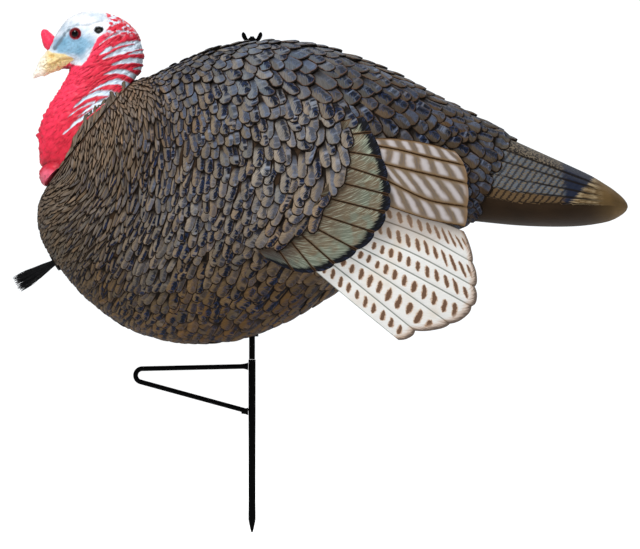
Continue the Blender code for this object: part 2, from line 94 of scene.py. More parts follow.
# The wing's outer skin is the body or this bulging plate, whichever is further out.
PLATE_REACH = 131.0
PLATE_BEND_START = 40.0
PLATE_BEND_BACK = 0.0007
PLATE_WIDEST_Z = 465.0
PLATE_BEND_DOWN = 0.0006
PLATE_BEND_UP = 0.0022
PLATE_BLEND = 6.0
COVER_OUTLINE = [
    (146, 551), (174, 513), (182, 455), (172, 421), (150, 386), (121, 366), (90, 350), (51, 352),
    (16, 370), (-50, 411), (-90, 465), (-83, 525), (-29, 568), (51, 581), (111, 573),
]
COVERT_FRONT = [  # the coverts' edge away from the fan, from the belly round to the back
    (-10, 372), (-50, 409), (-90, 465), (-84, 525), (-29, 568), (51, 581), (111, 571), (143, 552),
]
COVER_CENTRE = (60, 465)
COVER_RIM = (-0.75, 8.25)  # the rim stands up between these corners of the outline
COVER_LOW = -0.8  # the cover's front is sunk this far below the wing's skin
COVER_HIGH = 9.0  # and its rear rim stands this far over it
COVER_SHEET = 2.4
COVERT_RISE = 1.8  # how far the rearmost coverts stand up, so that they lie over the fan's roots

# Lines between neighbouring long feathers, from root to tip, as (x, z) points.
FAN_LINES = [
    [(118, 545), (146, 553)],
    [(123, 527), (158, 531)],
    [(122, 506), (171, 498)],
    [(115, 489), (178, 469)],
    [(105, 468), (180, 449)],
    [(91, 447), (176, 426)],
    [(79, 427), (162, 400)],
    [(69, 414), (139, 377)],
    [(61, 402), (110, 359)],
    [(50, 392), (85, 349)],
    [(34, 381), (56, 350)],
    [(10, 376), (20, 366)],
]
BUFF_LINES = [
    [(140, 523), (190, 523), (232, 517), (268, 507)],
    [(140, 517), (190, 509), (232, 499), (280, 489)],
    [(140, 499), (173, 490), (225, 478), (284, 465)],
    [(150, 480), (182, 466), (232, 443), (284, 434)],
    [(145, 447), (180, 434), (232, 417), (281, 408)],
]
WHITE_LINES = [
    [(76, 357), (134, 308), (194, 259)],
    [(94, 369), (152, 323), (216, 271)],
    [(108, 381), (180, 337), (262, 280)],
    [(124, 390), (200, 352), (291, 303)],
    [(140, 402), (216, 371), (295, 329)],
    [(150, 424), (226, 396), (292, 361)],
    [(160, 441), (232, 420), (280, 402)],
]
BUFF_BAR_PITCH = 19.0
BUFF_BAR_SLANT = 0.6  # how far a bar runs back along the feather, per millimetre across it
WHITE_BAR_PITCH = 14.0

# What the moulded feathers look like round each place: (x, z), the way they lie (x, z), their width
# and length, and the colour of their paint in sRGB. The rows low on the belly and on the lower rump
# are darker partly as painted shade.
FEATHER_MAP = [
    (-150, 579, 0.05, -1.0, 4.0, 27, 104, 90, 77),
    (-204, 512, -0.15, -1.0, 4.0, 27, 102, 88, 75),
    (-257, 445, -0.85, -0.5, 4.4, 25, 92, 80, 68),
    (-257, 378, -0.6, -0.8, 5.0, 26, 84, 74, 62),
    (-204, 418, -0.6, -0.8, 5.6, 28, 90, 80, 69),
    (-163, 485, -0.1, -1.0, 6.0, 29, 87, 74, 59),
    (-96, 539, 0.0, -1.0, 8.0, 31, 86, 74, 61),
    (-123, 445, -0.2, -1.0, 7.6, 32, 95, 86, 76),
    (-123, 378, -0.4, -0.9, 9.0, 34, 95, 86, 75),
    (-70, 445, -0.2, -1.0, 10, 34, 102, 93, 82),
    (-204, 311, -0.5, -0.85, 8.0, 28, 82, 64, 41),
    (-70, 311, -0.35, -0.95, 13, 34, 90, 71, 46),
    # Low on the belly: dark brown paint, darkened further as painted shade under the body.
    (-70, 264, -0.6, -0.8, 13, 34, 69, 51, 30),
    (-16, 271, -0.8, -0.6, 15, 38, 69, 51, 29),
    (64, 311, -0.8, -0.6, 16, 38, 69, 51, 29),
    (-96, 619, 0.1, -1.0, 12, 28, 84, 79, 73),
    (-3, 606, 0.25, -0.97, 17, 34, 92, 93, 94),
    (64, 632, 0.6, -0.8, 21, 38, 72, 74, 78),
    (131, 606, 0.6, -0.8, 22, 38, 61, 56, 50),
    (198, 565, 0.7, -0.7, 21, 36, 55, 47, 39),
    (265, 539, 0.8, -0.6, 18, 34, 61, 52, 42),
    (319, 512, 0.85, -0.5, 16, 32, 65, 57, 47),
    # The lower rump under the wing's end: near-black brown, partly paint and partly painted shade.
    (290, 425, 0.8, -0.6, 14, 30, 38, 28, 19),
    (-30, 539, 0.05, -1.0, 12, 32, 93, 83, 69),
    (64, 539, 0.15, -1.0, 15, 38, 112, 105, 97),
    (131, 500, 0.05, -1.0, 14, 42, 116, 108, 98),
    (104, 440, -0.4, -0.9, 14, 42, 114, 99, 81),
    (64, 395, -0.7, -0.7, 14, 42, 104, 87, 68),
    (-3, 445, -0.3, -0.95, 12, 34, 102, 94, 85),
    (30, 480, -0.1, -1.0, 14, 38, 112, 105, 96),
]
SPACING_ALONG = 0.58  # of a feather's length
SPACING_ACROSS = 0.92  # of its width
CLOSENESS = (1.0, 0.9, 0.8, 0.7)  # the spacing of each pass, so that later feathers fill gaps
CANDIDATES = 14  # places tried for each feather that fits
SMALL_FEATHER = 7.5  # narrower feathers get the simple form
RIDGE_LIFT = 2.6  # how much higher the tips stand along the ridge of the back
FEATHER_SINK = 1.8  # how far a moulded feather's underside lies below the skin

# Feathers grow this far from what turns, and their points stay this far from it. Both pairs are
# for the rod on the back, above MIDDLE_Z, and for the spike's bush under the belly.
MIDDLE_Z = 450
ROOTS_FROM_STAKE = (14, 10)
POINTS_FROM_STAKE = (10.5, 6.0)
ROOTS_FROM_BEARD = 15

EYE = (-234.5, 665.5)
EYE_RADIUS = 8.2
SNOOD_BASE = np.array((-270.0, 0.0, 655.0))
SNOOD_LEAN = np.array((-0.49, 0.0, 0.87))
SNOOD_PROFILE = [  # radius, and distance along the snood from its base
    (3.0, -14), (5.0, -12), (9.0, -4), (9.9, 1), (8.6, 7), (7.0, 12), (5.6, 16), (3.6, 19), (1.2, 20.4),
]
BEARD_ROOT = np.array((-260.0, 0.0, 364.0))
BEARD_DIRECTION = np.array((-0.86, 0.0, -0.51))


def linear(red, green, blue):
    """The linear colour of an sRGB one given from 0 to 255."""
    shares = np.array((red, green, blue)) / 255
    low = shares / 12.92
    high = ((shares + 0.055) / 1.055) ** 2.4
    return (*np.where(shares <= 0.04045, low, high), 1.0)


def smoothstep(low, high, values):
    """0 below low and 1 above high, or the reverse where low is above high."""
    share = np.clip((np.asarray(values, float) - low) / (high - low), 0, 1)
    return share * share * (3 - 2 * share)


def curve_at(points, shares):
    """Points on a Catmull-Rom curve at shares of its length, and straight on beyond its end."""
    points = np.asarray(points, float)
    shares = np.asarray(shares, float)
    padded = np.vstack([2 * points[0] - points[1], points, 2 * points[-1] - points[-2]])
    place = np.clip(shares, 0, 1) * (len(points) - 1)
    index = np.minimum(place.astype(int), len(points) - 2)
    t = (place - index)[..., None]
    before, start, end, after = (padded[index + k] for k in range(4))
    curve = 0.5 * (
        2 * start
        + (end - before) * t
        + (2 * before - 5 * start + 4 * end - after) * t**2
        + (3 * start - before - 3 * end + after) * t**3
    )
    beyond = np.clip(shares - 1, 0, None)[..., None] * (len(points) - 1)
    return curve + beyond * (points[-1] - points[-2])


def section_points(rows, turns):
    """Points of egg-shaped sections. Turns are radians from the top towards the left flank."""
    across = rows[..., 0:2] - rows[..., 2:4]
    height = np.linalg.norm(across, axis=-1)
    up = across / height[..., None]
    rise = np.sign(np.cos(turns)) * np.abs(np.cos(turns)) ** FULLNESS
    side = np.sign(np.sin(turns)) * np.abs(np.sin(turns)) ** FULLNESS
    widest = rows[..., 5]
    reach = height * np.where(rise > 0, 1 - widest, widest)
    flat = rows[..., 2:4] + up * (height * widest + rise * reach)[..., None]
    return np.stack([flat[..., 0], -rows[..., 4] * side, flat[..., 1]], axis=-1)


def loft_grid(stations, along, around):
    """Rings of points through the stations, as an array of (ring, step, xyz)."""
    shares = np.linspace(0, 1, along)
    rows = curve_at(stations, shares)[:, None, :]
    turns = np.arange(around)[None, :] * 2 * math.pi / around
    whole = (along, around)
    return section_points(np.broadcast_to(rows, (*whole, 6)), np.broadcast_to(turns, whole))


def ring_quads(rings, around):
    """Quads between rings of points, facing out where the rings turn from the top to the left flank."""
    ring, step = np.meshgrid(np.arange(rings - 1), np.arange(around), indexing="ij")
    after = (step + 1) % around
    low = ring * around
    high = low + around
    return np.stack([low + step, low + after, high + after, high + step], axis=-1).reshape(-1, 4)


def ring_solid(grid):
    """Points and face groups of a loft with flat ends."""
    rings, around = grid.shape[:2]
    first = np.arange(around)[None, ::-1]
    last = (np.arange(around) + (rings - 1) * around)[None, :]
    return grid.reshape(-1, 3), [ring_quads(rings, around), first, last]


def grid_quads(rows, columns):
    row, column = np.meshgrid(np.arange(rows - 1), np.arange(columns - 1), indexing="ij")
    low = row * columns + column
    return np.stack([low, low + 1, low + columns + 1, low + columns], axis=-1).reshape(-1, 4)


def rim_of_grid(rows, columns):
    """Indices of a grid's edge points, in order round it."""
    first = np.arange(columns)
    right = np.arange(1, rows) * columns + columns - 1
    last = (rows - 1) * columns + np.arange(columns - 2, -1, -1)
    left = np.arange(rows - 2, 0, -1) * columns
    return np.concatenate([first, right, last, left])


# ------------------------------------------------------------------------------------ making pieces
def mesh_from(name, points, groups):
    """A mesh from points in millimetres and groups of faces, one face per row of a group."""
    mesh = bpy.data.meshes.new(name)
    corners = np.concatenate([group.ravel() for group in groups])
    sizes = np.concatenate([np.full(len(group), group.shape[1]) for group in groups])
    mesh.vertices.add(len(points))
    mesh.vertices.foreach_set("co", (np.asarray(points) * MM).ravel())
    mesh.loops.add(len(corners))
    mesh.loops.foreach_set("vertex_index", corners.astype(np.int32))
    mesh.polygons.add(len(sizes))
    mesh.polygons.foreach_set("loop_start", (np.cumsum(sizes) - sizes).astype(np.int32))
    mesh.update(calc_edges=True)
    mesh.shade_smooth()
    return mesh


def add_piece(name, points, groups, material, body, attributes=None, sharp=45, replaced=()):
    """A piece that rides on a body. Attributes are (points, 3) arrays for the material to read."""
    mesh = mesh_from(name, points, groups)
    mesh.set_sharp_from_angle(angle=math.radians(sharp))
    for label, values in (attributes or {}).items():
        layer = mesh.attributes.new(label, "FLOAT_VECTOR", "POINT")
        layer.data.foreach_set("vector", np.ascontiguousarray(values, np.float32).ravel())
    mesh.materials.append(material)
    piece = bpy.data.objects.new(name, mesh)
    bpy.context.scene.collection.objects.link(piece)
    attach(piece, body)
    if replaced:
        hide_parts(*replaced)
    return piece


def mirrored(points, groups):
    return points * (1, -1, 1), [group[:, ::-1] for group in groups]


def add_pair(name, points, groups, attributes, material, body, slot, replaced=None, sharp=45):
    """The left piece and its mirror image."""
    for side in ("left", "right"):
        nodes = [f"{side}_{replaced}"] if replaced else []
        add_piece(f"{side}_{name}", points, groups, material, body, attributes, sharp, nodes)
        points, groups = mirrored(points, groups)


def joined(solids):
    """One set of points, face groups and attributes from several. Face groups keep their order."""
    points = []
    groups = []
    attributes = {label: [] for label in solids[0][2]}
    start = 0
    for solid_points, solid_groups, solid_attributes in solids:
        points.append(solid_points)
        groups += [group + start for group in solid_groups]
        for label, values in solid_attributes.items():
            attributes[label].append(values)
        start += len(solid_points)
    return np.concatenate(points), groups, {k: np.concatenate(v) for k, v in attributes.items()}


# ------------------------------------------------------------------------------------ skin and wing
class Skin:
    """A surface that feathers lie on, with its points in millimetres."""

    def __init__(self, points, quads):
        self.points = points
        self.quads = quads
        self.tree = BVHTree.FromPolygons(points.tolist(), quads.tolist())

    def nearest(self, points):
        """The nearest places on the skin, and its normals there."""
        found = [self.tree.find_nearest(Vector(point))[:2] for point in points]
        return np.array([place for place, _ in found]), np.array([normal for _, normal in found])

    def reach(self, x, z):
        """Half width at (x, z) seen from the side, or 0 outside the outline."""
        hit = self.tree.ray_cast(Vector((x, -400, z)), Vector((0, 1, 0)))[0]
        return -hit.y if hit else 0.0


def body_and_tail_skin():
    around = 128
    body = loft_grid(BODY_STATIONS, 150, around)
    tail = loft_grid(TAIL_STATIONS, 60, around)
    quads = np.concatenate([ring_quads(150, around), ring_quads(60, around) + body.size // 3])
    return Skin(np.concatenate([body.reshape(-1, 3), tail.reshape(-1, 3)]), quads)


def plate_reach(skin, x, z):
    """Distance from the middle plane to the wing's lowest layer."""
    back = max(x - PLATE_BEND_START, 0.0)
    height = z - PLATE_WIDEST_Z
    bend = PLATE_BEND_UP if height > 0 else PLATE_BEND_DOWN
    plate = PLATE_REACH - PLATE_BEND_BACK * back**2 - bend * height**2
    body = skin.reach(x, z)
    mix = min(max(0.5 + (plate - body) / (2 * PLATE_BLEND), 0.0), 1.0)
    return body * (1 - mix) + plate * mix + PLATE_BLEND * mix * (1 - mix)


def on_wing(skin, flat, heights):
    """Points on the left flank, at heights over the wing's skin, from (x, z) places."""
    reach = np.array([plate_reach(skin, x, z) for x, z in flat.reshape(-1, 2)]).reshape(flat.shape[:-1])
    return np.stack([flat[..., 0], -(reach + heights), flat[..., 1]], axis=-1)


def closed_outline(points, count):
    """Points evenly spread in turn round a closed smooth outline."""
    wrapped = [points[-1], *points, points[0], points[1]]
    first = 1 / (len(wrapped) - 1)
    last = (len(points) + 1) / (len(wrapped) - 1)
    return curve_at(wrapped, np.linspace(first, last, count, endpoint=False))


def cover_lift(turns):
    """How far the cover stands up at each place round its outline, from 0 at the front to 1."""
    first, last = COVER_RIM
    corner = turns * len(COVER_OUTLINE)
    corner = np.where(corner > len(COVER_OUTLINE) + first, corner - len(COVER_OUTLINE), corner)
    rim = np.sin(math.pi * np.clip((corner - first) / (last - first), 0, 1))
    return np.clip(rim * 4, 0, 1)


def build_cover_plate(skin, material):
    """The curved sheet under the wing's coverts. It rises from the flank to the rear rim."""
    around = 150
    rings = 26
    turns = np.arange(around) / around
    outline = closed_outline(COVER_OUTLINE, around)
    lift = cover_lift(turns)
    shares = np.linspace(0.02, 1, rings)[:, None] * (1 - 0.05 * lift)
    centre = np.array(COVER_CENTRE, float)
    flat = centre + (outline - centre) * shares[..., None]
    height = COVER_LOW + (COVER_HIGH - COVER_LOW) * lift * smoothstep(0.05, 0.5, shares)
    outer = on_wing(skin, flat, height)
    inner = on_wing(skin, flat, height - COVER_SHEET)
    # Outer rings run from the middle out and inner rings back, so that one loft closes the sheet.
    points, groups = ring_solid(np.concatenate([outer, inner[::-1]]))
    add_pair("cover_plate", points, groups, {}, material, "decoy_body", "cover_feather", "wing_cover")
    raised = on_wing(skin, flat, height + COVERT_RISE * lift * smoothstep(0.15, 0.4, shares))
    return Skin(raised.reshape(-1, 3), ring_quads(rings, around))


def inside(outline, places):
    """Whether each (x, z) place lies inside a closed outline."""
    start = np.asarray(outline, float)
    end = np.roll(start, -1, axis=0)
    x = places[:, 0:1]
    z = places[:, 1:2]
    straddles = (start[:, 1] > z) != (end[:, 1] > z)
    rise = np.where(end[:, 1] == start[:, 1], 1, end[:, 1] - start[:, 1])
    crossing = start[:, 0] + (z - start[:, 1]) * (end[:, 0] - start[:, 0]) / rise
    return (straddles & (x < crossing)).sum(axis=1) % 2 == 1


def shrunk(outline, share):
    outline = np.asarray(outline, float)
    centre = outline.mean(axis=0)
    return centre + (outline - centre) * share


# ---------------------------------------------------------------------------------------- feathers
def feather_look(places):
    """Rows of the feather map, blended for each (x, z) place."""
    table = np.array(FEATHER_MAP, float)
    square = ((places[:, None, :] - table[None, :, 0:2]) ** 2).sum(axis=-1)
    weight = 1 / (square + 200) ** 1.5
    weight /= weight.sum(axis=1, keepdims=True)
    return weight @ table[:, 2:]


def unit(vectors):
    return vectors / np.maximum(np.linalg.norm(vectors, axis=-1, keepdims=True), 1e-9)


def feather_places(skin, rng, allowed):
    """Candidate feathers on the skin's left half: places, normals, and the look of each."""
    corners = skin.points[skin.quads]
    middles = corners.mean(axis=1)
    crosses = np.cross(corners[:, 2] - corners[:, 0], corners[:, 3] - corners[:, 1])
    looks = feather_look(middles[:, [0, 2]])
    weight = np.linalg.norm(crosses, axis=1) / (looks[:, 2] * looks[:, 3])
    weight[(middles[:, 1] > 0) | ~allowed(middles)] = 0
    wanted = int(CANDIDATES * weight.sum() / (2 * SPACING_ALONG * SPACING_ACROSS))
    chosen = rng.choice(len(weight), wanted, p=weight / weight.sum())
    share = rng.random((wanted, 2, 1))
    quad = corners[chosen]
    low = quad[:, 0] + (quad[:, 1] - quad[:, 0]) * share[:, 0]
    high = quad[:, 3] + (quad[:, 2] - quad[:, 3]) * share[:, 0]
    places = low + (high - low) * share[:, 1]
    return places, unit(crosses[chosen]), feather_look(places[:, [0, 2]])


def lie_directions(normals, looks):
    """Unit vectors along and across each feather, in the skin's plane."""
    x = looks[:, 0] + 0.9 * np.clip(normals[:, 2], 0, 1) ** 2
    z = looks[:, 1]
    sideways = -(normals[:, 0] * x + normals[:, 2] * z) / np.minimum(normals[:, 1], -0.35)
    lie = np.stack([x, sideways, z], axis=1)
    along = unit(lie - normals * (lie * normals).sum(axis=1, keepdims=True))
    return along, np.cross(along, normals)


def spread_out(places, along, across, looks):
    """Indices of candidates that keep clear of each other, in feather lengths and widths."""
    kept = np.empty((len(places), 3))
    count = 0
    chosen = []
    waiting = np.arange(len(places))
    for closeness in CLOSENESS:
        left = []
        for index in waiting:
            gaps = kept[:count] - places[index]
            far_along = gaps @ along[index] / (looks[index, 3] * SPACING_ALONG * closeness)
            far_across = gaps @ across[index] / (looks[index, 2] * SPACING_ACROSS * closeness)
            if count and (far_along**2 + far_across**2).min() < 1:
                left.append(index)
                continue
            kept[count] = places[index]
            count += 1
            chosen.append(index)
        waiting = np.array(left)
    return np.array(chosen)


def feather_form(columns, rows):
    """The (u, v) grid of a feather's face, u across from -1 to 1 and v from root to tip."""
    across = np.linspace(-1, 1, columns)
    across = np.sign(across) * np.abs(across) ** 0.75
    down = np.linspace(0, 1, rows) ** 0.75
    v, u = np.meshgrid(down, across, indexing="ij")
    return u.ravel(), v.ravel()


def feather_solids(skin, rng, places, along, across, looks, columns, rows):
    """Closed feather scales laid on the skin, with the attributes that their paint reads."""
    u, v = feather_form(columns, rows)
    rim = rim_of_grid(rows, columns)
    count = len(places)
    width = looks[:, 2:3] * rng.uniform(1.02, 1.45, (count, 1))
    length = looks[:, 3:4] * rng.uniform(0.95, 1.35, (count, 1))
    hair = smoothstep(9, 5, looks[:, 2:3])
    blunt = np.interp(v, (0, 0.35, 0.65, 0.9, 1), (0.80, 0.97, 1.0, 0.97, 0.80))
    pointed = np.interp(v, (0, 0.35, 0.65, 0.9, 1), (0.8, 1.0, 0.92, 0.6, 0.3))
    taper = blunt + (pointed - blunt) * hair
    bend = rng.normal(0, 0.13, (count, 1))
    twist = rng.normal(0, 0.09 + 0.07 * hair, (count, 1))
    forward = length * (v - 0.11 * v**4 * np.abs(u) ** 3 - 0.45)
    side = u * taper * width / 2 + bend * width * v**2 + twist * forward
    top = feather_heights(rng, places, u, v, width)
    bottom = np.full((count, len(rim)), -FEATHER_SINK)
    side = np.concatenate([side, side[:, rim]], axis=1)
    forward = np.concatenate([forward, forward[:, rim]], axis=1)
    height = np.concatenate([top, bottom], axis=1)
    flat = places[:, None] + across[:, None] * side[..., None] + along[:, None] * forward[..., None]
    laid, normals = skin.nearest(flat.reshape(-1, 3))
    points = laid + normals * height.reshape(-1, 1)

    edge = np.minimum((1 - np.abs(u)) * taper * width / 2, (1 - v) * length)
    edge = np.concatenate([edge, np.zeros((count, len(rim)))], axis=1)
    face = (np.concatenate([u, u[rim]]), np.concatenate([v, v[rim]]), edge)
    attributes = feather_attributes(rng, places, looks, width, length, face)
    return points, feather_faces(rim, count, columns, rows), attributes


def feather_heights(rng, places, u, v, width):
    """Heights of each feather's face over the skin, highest near the tip and along the ridge."""
    count = len(places)
    lift = np.clip(1.4 + 0.12 * width, 2.0, 4.4) * rng.uniform(0.75, 1.25, (count, 1))
    on_ridge = smoothstep(30, 8, -places[:, 1:2])
    on_ridge = on_ridge * smoothstep(560, 620, places[:, 2:3] + 0.4 * places[:, 0:1])
    lift = lift + RIDGE_LIFT * on_ridge
    tilt = rng.normal(-0.55, 0.25, (count, 1))
    top = -0.8 + (lift + 0.8) * v - 0.38 * lift * u**4 - 0.25 * lift * smoothstep(0.8, 1, v)
    return top + tilt * u * np.clip(width / 15, 0, 1)


def feather_faces(rim, count, columns, rows):
    """Faces of the scales: each has a grid on top, walls down from its rim, and an underside."""
    first_under = columns * rows
    under = np.arange(len(rim)) + first_under
    starts = (np.arange(count) * (first_under + len(rim)))[:, None, None]
    walls = np.stack([under, np.roll(under, -1), np.roll(rim, -1), rim], axis=1)
    quads = np.concatenate([grid_quads(rows, columns), walls])
    undersides = (under[::-1][None, None] + starts).reshape(count, -1)
    return [(quads[None] + starts).reshape(-1, 4), undersides]


def feather_attributes(rng, places, looks, width, length, face):
    """What the paint reads at each point: the place in the feather, its size, grain and tint."""
    u, v, edge = face
    count = len(places)
    whole = np.ones_like(edge)
    paint = looks[:, 4:7] * rng.normal(1, 0.06, (count, 1))
    paint = paint + rng.normal(0, 2.5, (count, 1)) * (1, 0, -1)
    colours = np.array([linear(*row)[:3] for row in np.clip(paint, 20, 240)])
    x, z = places[:, 0:1], places[:, 2:3]
    blue = smoothstep(5.2, 8, width) * rng.uniform(0.45, 1.4, (count, 1))
    warm = smoothstep(540, 620, z) * smoothstep(-60, 80, x)
    # The pale halo fades low on the body, partly the paint and partly painted shade under the belly.
    high = smoothstep(330, 520, z)
    pale = smoothstep(6, 11, width) * rng.uniform(0.3, 1.1, (count, 1)) * (0.12 + 0.88 * high)
    attributes = {
        "place": np.stack([u * whole, v * whole, edge], axis=-1),
        "form": np.stack([width * whole, length * whole, rng.random((count, 1)) * whole], axis=-1),
        "grain": np.stack([blue * whole, warm * whole, pale * whole], axis=-1),
        "tint": colours[:, None, :] * whole[..., None],
    }
    return {label: values.reshape(-1, 3) for label, values in attributes.items()}


def lay_feathers(skin, rng, allowed):
    """All scales of one skin: simple ones where they are small, finer ones where they are large."""
    places, normals, looks = feather_places(skin, rng, allowed)
    fits = allowed(places) & (places[:, 1] < -0.12 * looks[:, 2])
    places, normals, looks = places[fits], normals[fits], looks[fits]
    along, across = lie_directions(normals, looks)
    kept = spread_out(places, along, across, looks)
    small = looks[kept, 2] < SMALL_FEATHER
    solids = []
    for chosen, columns, rows in ((kept[small], 4, 5), (kept[~small], 7, 8)):
        if len(chosen):
            picked = (places[chosen], along[chosen], across[chosen], looks[chosen])
            solids.append(feather_solids(skin, rng, *picked, columns, rows))
    return joined(solids)


def clear_of_beard(points):
    """The points, pushed out of the room that the beard swings in."""
    axis = unit(BEARD_DIRECTION)
    gaps = points - BEARD_ROOT
    along = gaps @ axis
    out = gaps - np.outer(along, axis)
    away = np.linalg.norm(out, axis=1)
    near = (np.abs(along) < 30) & (away < TUFT_CLEARANCE)
    push = np.where(near, TUFT_CLEARANCE - away, 0)
    return points + unit(out) * push[:, None]


def above_or_below(points, limits):
    """The first limit for points above the body's middle, and the second for those below it."""
    return np.where(points[:, 2] > MIDDLE_Z, *limits)


def over_seat(points):
    """How far points stand above the plane of the neck's seat, on the head's side."""
    return (points - NECK_SEAT) @ NECK_NORMAL


def body_feathers(skin, rng, material):
    cover = shrunk(COVER_OUTLINE, 0.90)
    under_wing = [line[0] for line in WHITE_LINES[::-1]] + [line[-1] for line in WHITE_LINES]
    under_buff = [line[0] for line in BUFF_LINES[::-1]] + [line[-1] for line in BUFF_LINES]
    hidden = [shrunk(under_wing, 0.8), shrunk(under_buff, 0.8)]

    def allowed(points):
        flat = points[:, [0, 2]]
        clear = ~inside(cover, flat)
        for outline in hidden:
            clear &= ~inside(outline, flat)
        from_stake = np.hypot(points[:, 0], points[:, 1])
        clear &= from_stake > above_or_below(points, ROOTS_FROM_STAKE)
        clear &= np.linalg.norm(points - BEARD_ROOT, axis=1) > ROOTS_FROM_BEARD
        clear &= over_seat(points) < -1.5
        ahead_of_tail = points[:, 0] - 0.37 * (points[:, 2] - 417) < 292
        return clear & ahead_of_tail

    points, groups, attributes = lay_feathers(skin, rng, allowed)
    points = points - np.outer(np.clip(over_seat(points) + GAP, 0, None), NECK_NORMAL)
    from_stake = np.hypot(points[:, 0], points[:, 1])
    push = np.clip(above_or_below(points, POINTS_FROM_STAKE) - from_stake, 0, None)
    points[:, :2] *= (1 + push / np.maximum(from_stake, 1))[:, None]
    points = clear_of_beard(points)
    add_pair("body_feathers", points, groups, attributes, material, "decoy_body", "body_feather")


def neck_hair(rng, material):
    """Hair-like feathers that spill from the neck over the base of the head piece."""
    grid = loft_grid(HEAD_STATIONS, 240, 128)
    skin = Skin(grid.reshape(-1, 3), ring_quads(240, 128)[:, ::-1])

    def allowed(points):
        return inside(HAIR_OUTLINE, points[:, [0, 2]]) & (over_seat(points) > 0.5)

    points, groups, attributes = lay_feathers(skin, rng, allowed)
    points = points + np.outer(np.clip(GAP - over_seat(points), 0, None), NECK_NORMAL)
    add_pair("neck_hair", points, groups, attributes, material, "head_and_neck", "body_feather")


def wing_coverts(cover_skin, rng, material):
    inner_ends = [tuple(curve_at(line, 0.10)) for line in FAN_LINES]
    outline = shrunk(inner_ends + COVERT_FRONT, 0.99)

    def allowed(points):
        return inside(outline, points[:, [0, 2]])

    points, groups, attributes = lay_feathers(cover_skin, rng, allowed)
    add_pair("wing_coverts", points, groups, attributes, material, "decoy_body", "cover_feather")


# ----------------------------------------------------------------------------------- long feathers
def vane(skin, first, second, heights, columns, rows, bulge, sheet, relief=None):
    """A long feather between two lines, as a closed sheet over the wing's skin.

    heights gives the outer face's height at the root, at the tip and how far the second edge stands
    up. bulge is how far the tip swells past the ends of the lines, as a share of the length.
    """
    v, u = np.meshgrid(np.linspace(0, 1, rows) ** 0.85, np.linspace(-1, 1, columns), indexing="ij")
    stretched = v * (1 + bulge * (1 - np.abs(u) ** 2.6))
    share = ((u + 1) / 2)[..., None]
    flat = curve_at(first, stretched) * (1 - share) + curve_at(second, stretched) * share
    length = np.linalg.norm(np.subtract(first[-1], first[0])) * (1 + bulge)
    width = np.linalg.norm(curve_at(first, v) - curve_at(second, v), axis=-1)
    root, tip, step = heights
    height = root + (tip - root) * v + step * (u + 1) / 2 + 0.25 * step * (1 - u**2)
    height = height - 0.5 * np.abs(u) ** 8 - 0.5 * smoothstep(0.93, 1, v)
    if relief is not None:
        height = height + relief(u, v, width, length)
    outer = on_wing(skin, flat, height)
    inner = on_wing(skin, flat, height - sheet)
    per_side = rows * columns
    rim = rim_of_grid(rows, columns)
    walls = np.stack([rim + per_side, np.roll(rim, -1) + per_side, np.roll(rim, -1), rim], axis=1)
    quads = grid_quads(rows, columns)
    points = np.concatenate([outer.reshape(-1, 3), inner.reshape(-1, 3)])
    groups = [np.concatenate([quads, walls, quads[:, ::-1] + per_side])]
    edge = (1 - np.abs(u)) * width / 2
    seed = abs(math.sin(first[0][0] * 12.9 + first[0][1] * 7.1))
    attributes = {
        "place": np.stack([u, v, edge], axis=-1),
        "form": np.stack([width, np.full_like(u, length), np.full_like(u, seed)], axis=-1),
    }
    doubled = {label: np.tile(values.reshape(-1, 3), (2, 1)) for label, values in attributes.items()}
    return points, outwards(points, groups), doubled


def outwards(points, groups):
    """The same faces, turned so that the solid's volume is positive."""
    quads = groups[0]
    corners = points[quads]
    volume = (corners[:, 0] * np.cross(corners[:, 1], corners[:, 2])).sum()
    volume += (corners[:, 0] * np.cross(corners[:, 2], corners[:, 3])).sum()
    return groups if volume > 0 else [group[:, ::-1] for group in groups]


def feather_fan(skin, lines, **form):
    return joined([vane(skin, first, second, **form) for first, second in zip(lines, lines[1:])])


def build_fan(skin, material):
    form = {"heights": (8.8, 12.8, 1.2), "columns": 11, "rows": 22, "bulge": 0.06, "sheet": 2.6}
    solid = feather_fan(skin, FAN_LINES, **form)
    add_pair("wing_fan", *solid, material, "decoy_body", "cover_feather")


def pearl_ridges(u, v, width, length):
    """Slanted low ridges across a buff feather."""
    phase = (v * length - u * width * BUFF_BAR_SLANT / 2) / BUFF_BAR_PITCH
    return 0.5 * np.cos(2 * math.pi * phase) * smoothstep(1.0, 0.6, np.abs(u))


def build_buff(skin, material):
    form = {"heights": (6.0, 6.6, 1.5), "columns": 17, "rows": 72, "bulge": 0.012, "sheet": 2.6}
    solid = feather_fan(skin, BUFF_LINES, relief=pearl_ridges, **form)
    add_pair("buff_secondaries", *solid, material, "decoy_body", "buff_feather", "secondaries")


def build_white(skin, material):
    form = {"heights": (2.4, 3.0, 1.2), "columns": 15, "rows": 40, "bulge": 0.03, "sheet": 2.0}
    solid = feather_fan(skin, WHITE_LINES, **form)
    add_pair("white_primaries", *solid, material, "decoy_body", "white_feather", "primaries")


# The tail's lengthwise feathers: shares of the way from the spine to the smooth underside.
TAIL_BANDS = [0.0, 0.25, 0.43, 0.65, 0.84, 1.0]
TAIL_TOP = [(330, 536), (482, 461), (506, 436)]
TAIL_UNDER = [(290, 452), (345, 441), (430, 438), (480, 436), (506, 434)]
SPIGOT_INSET = 5.4  # the spigot's surface lies this far inside the tail's first section
SPIGOT_REACH = np.array((-16.8, 0, 6.4))  # and runs this far into the body


def height_of(line, x):
    """Height of a line of (x, z) points at x."""
    return np.interp(x, [point[0] for point in line], [point[1] for point in line])


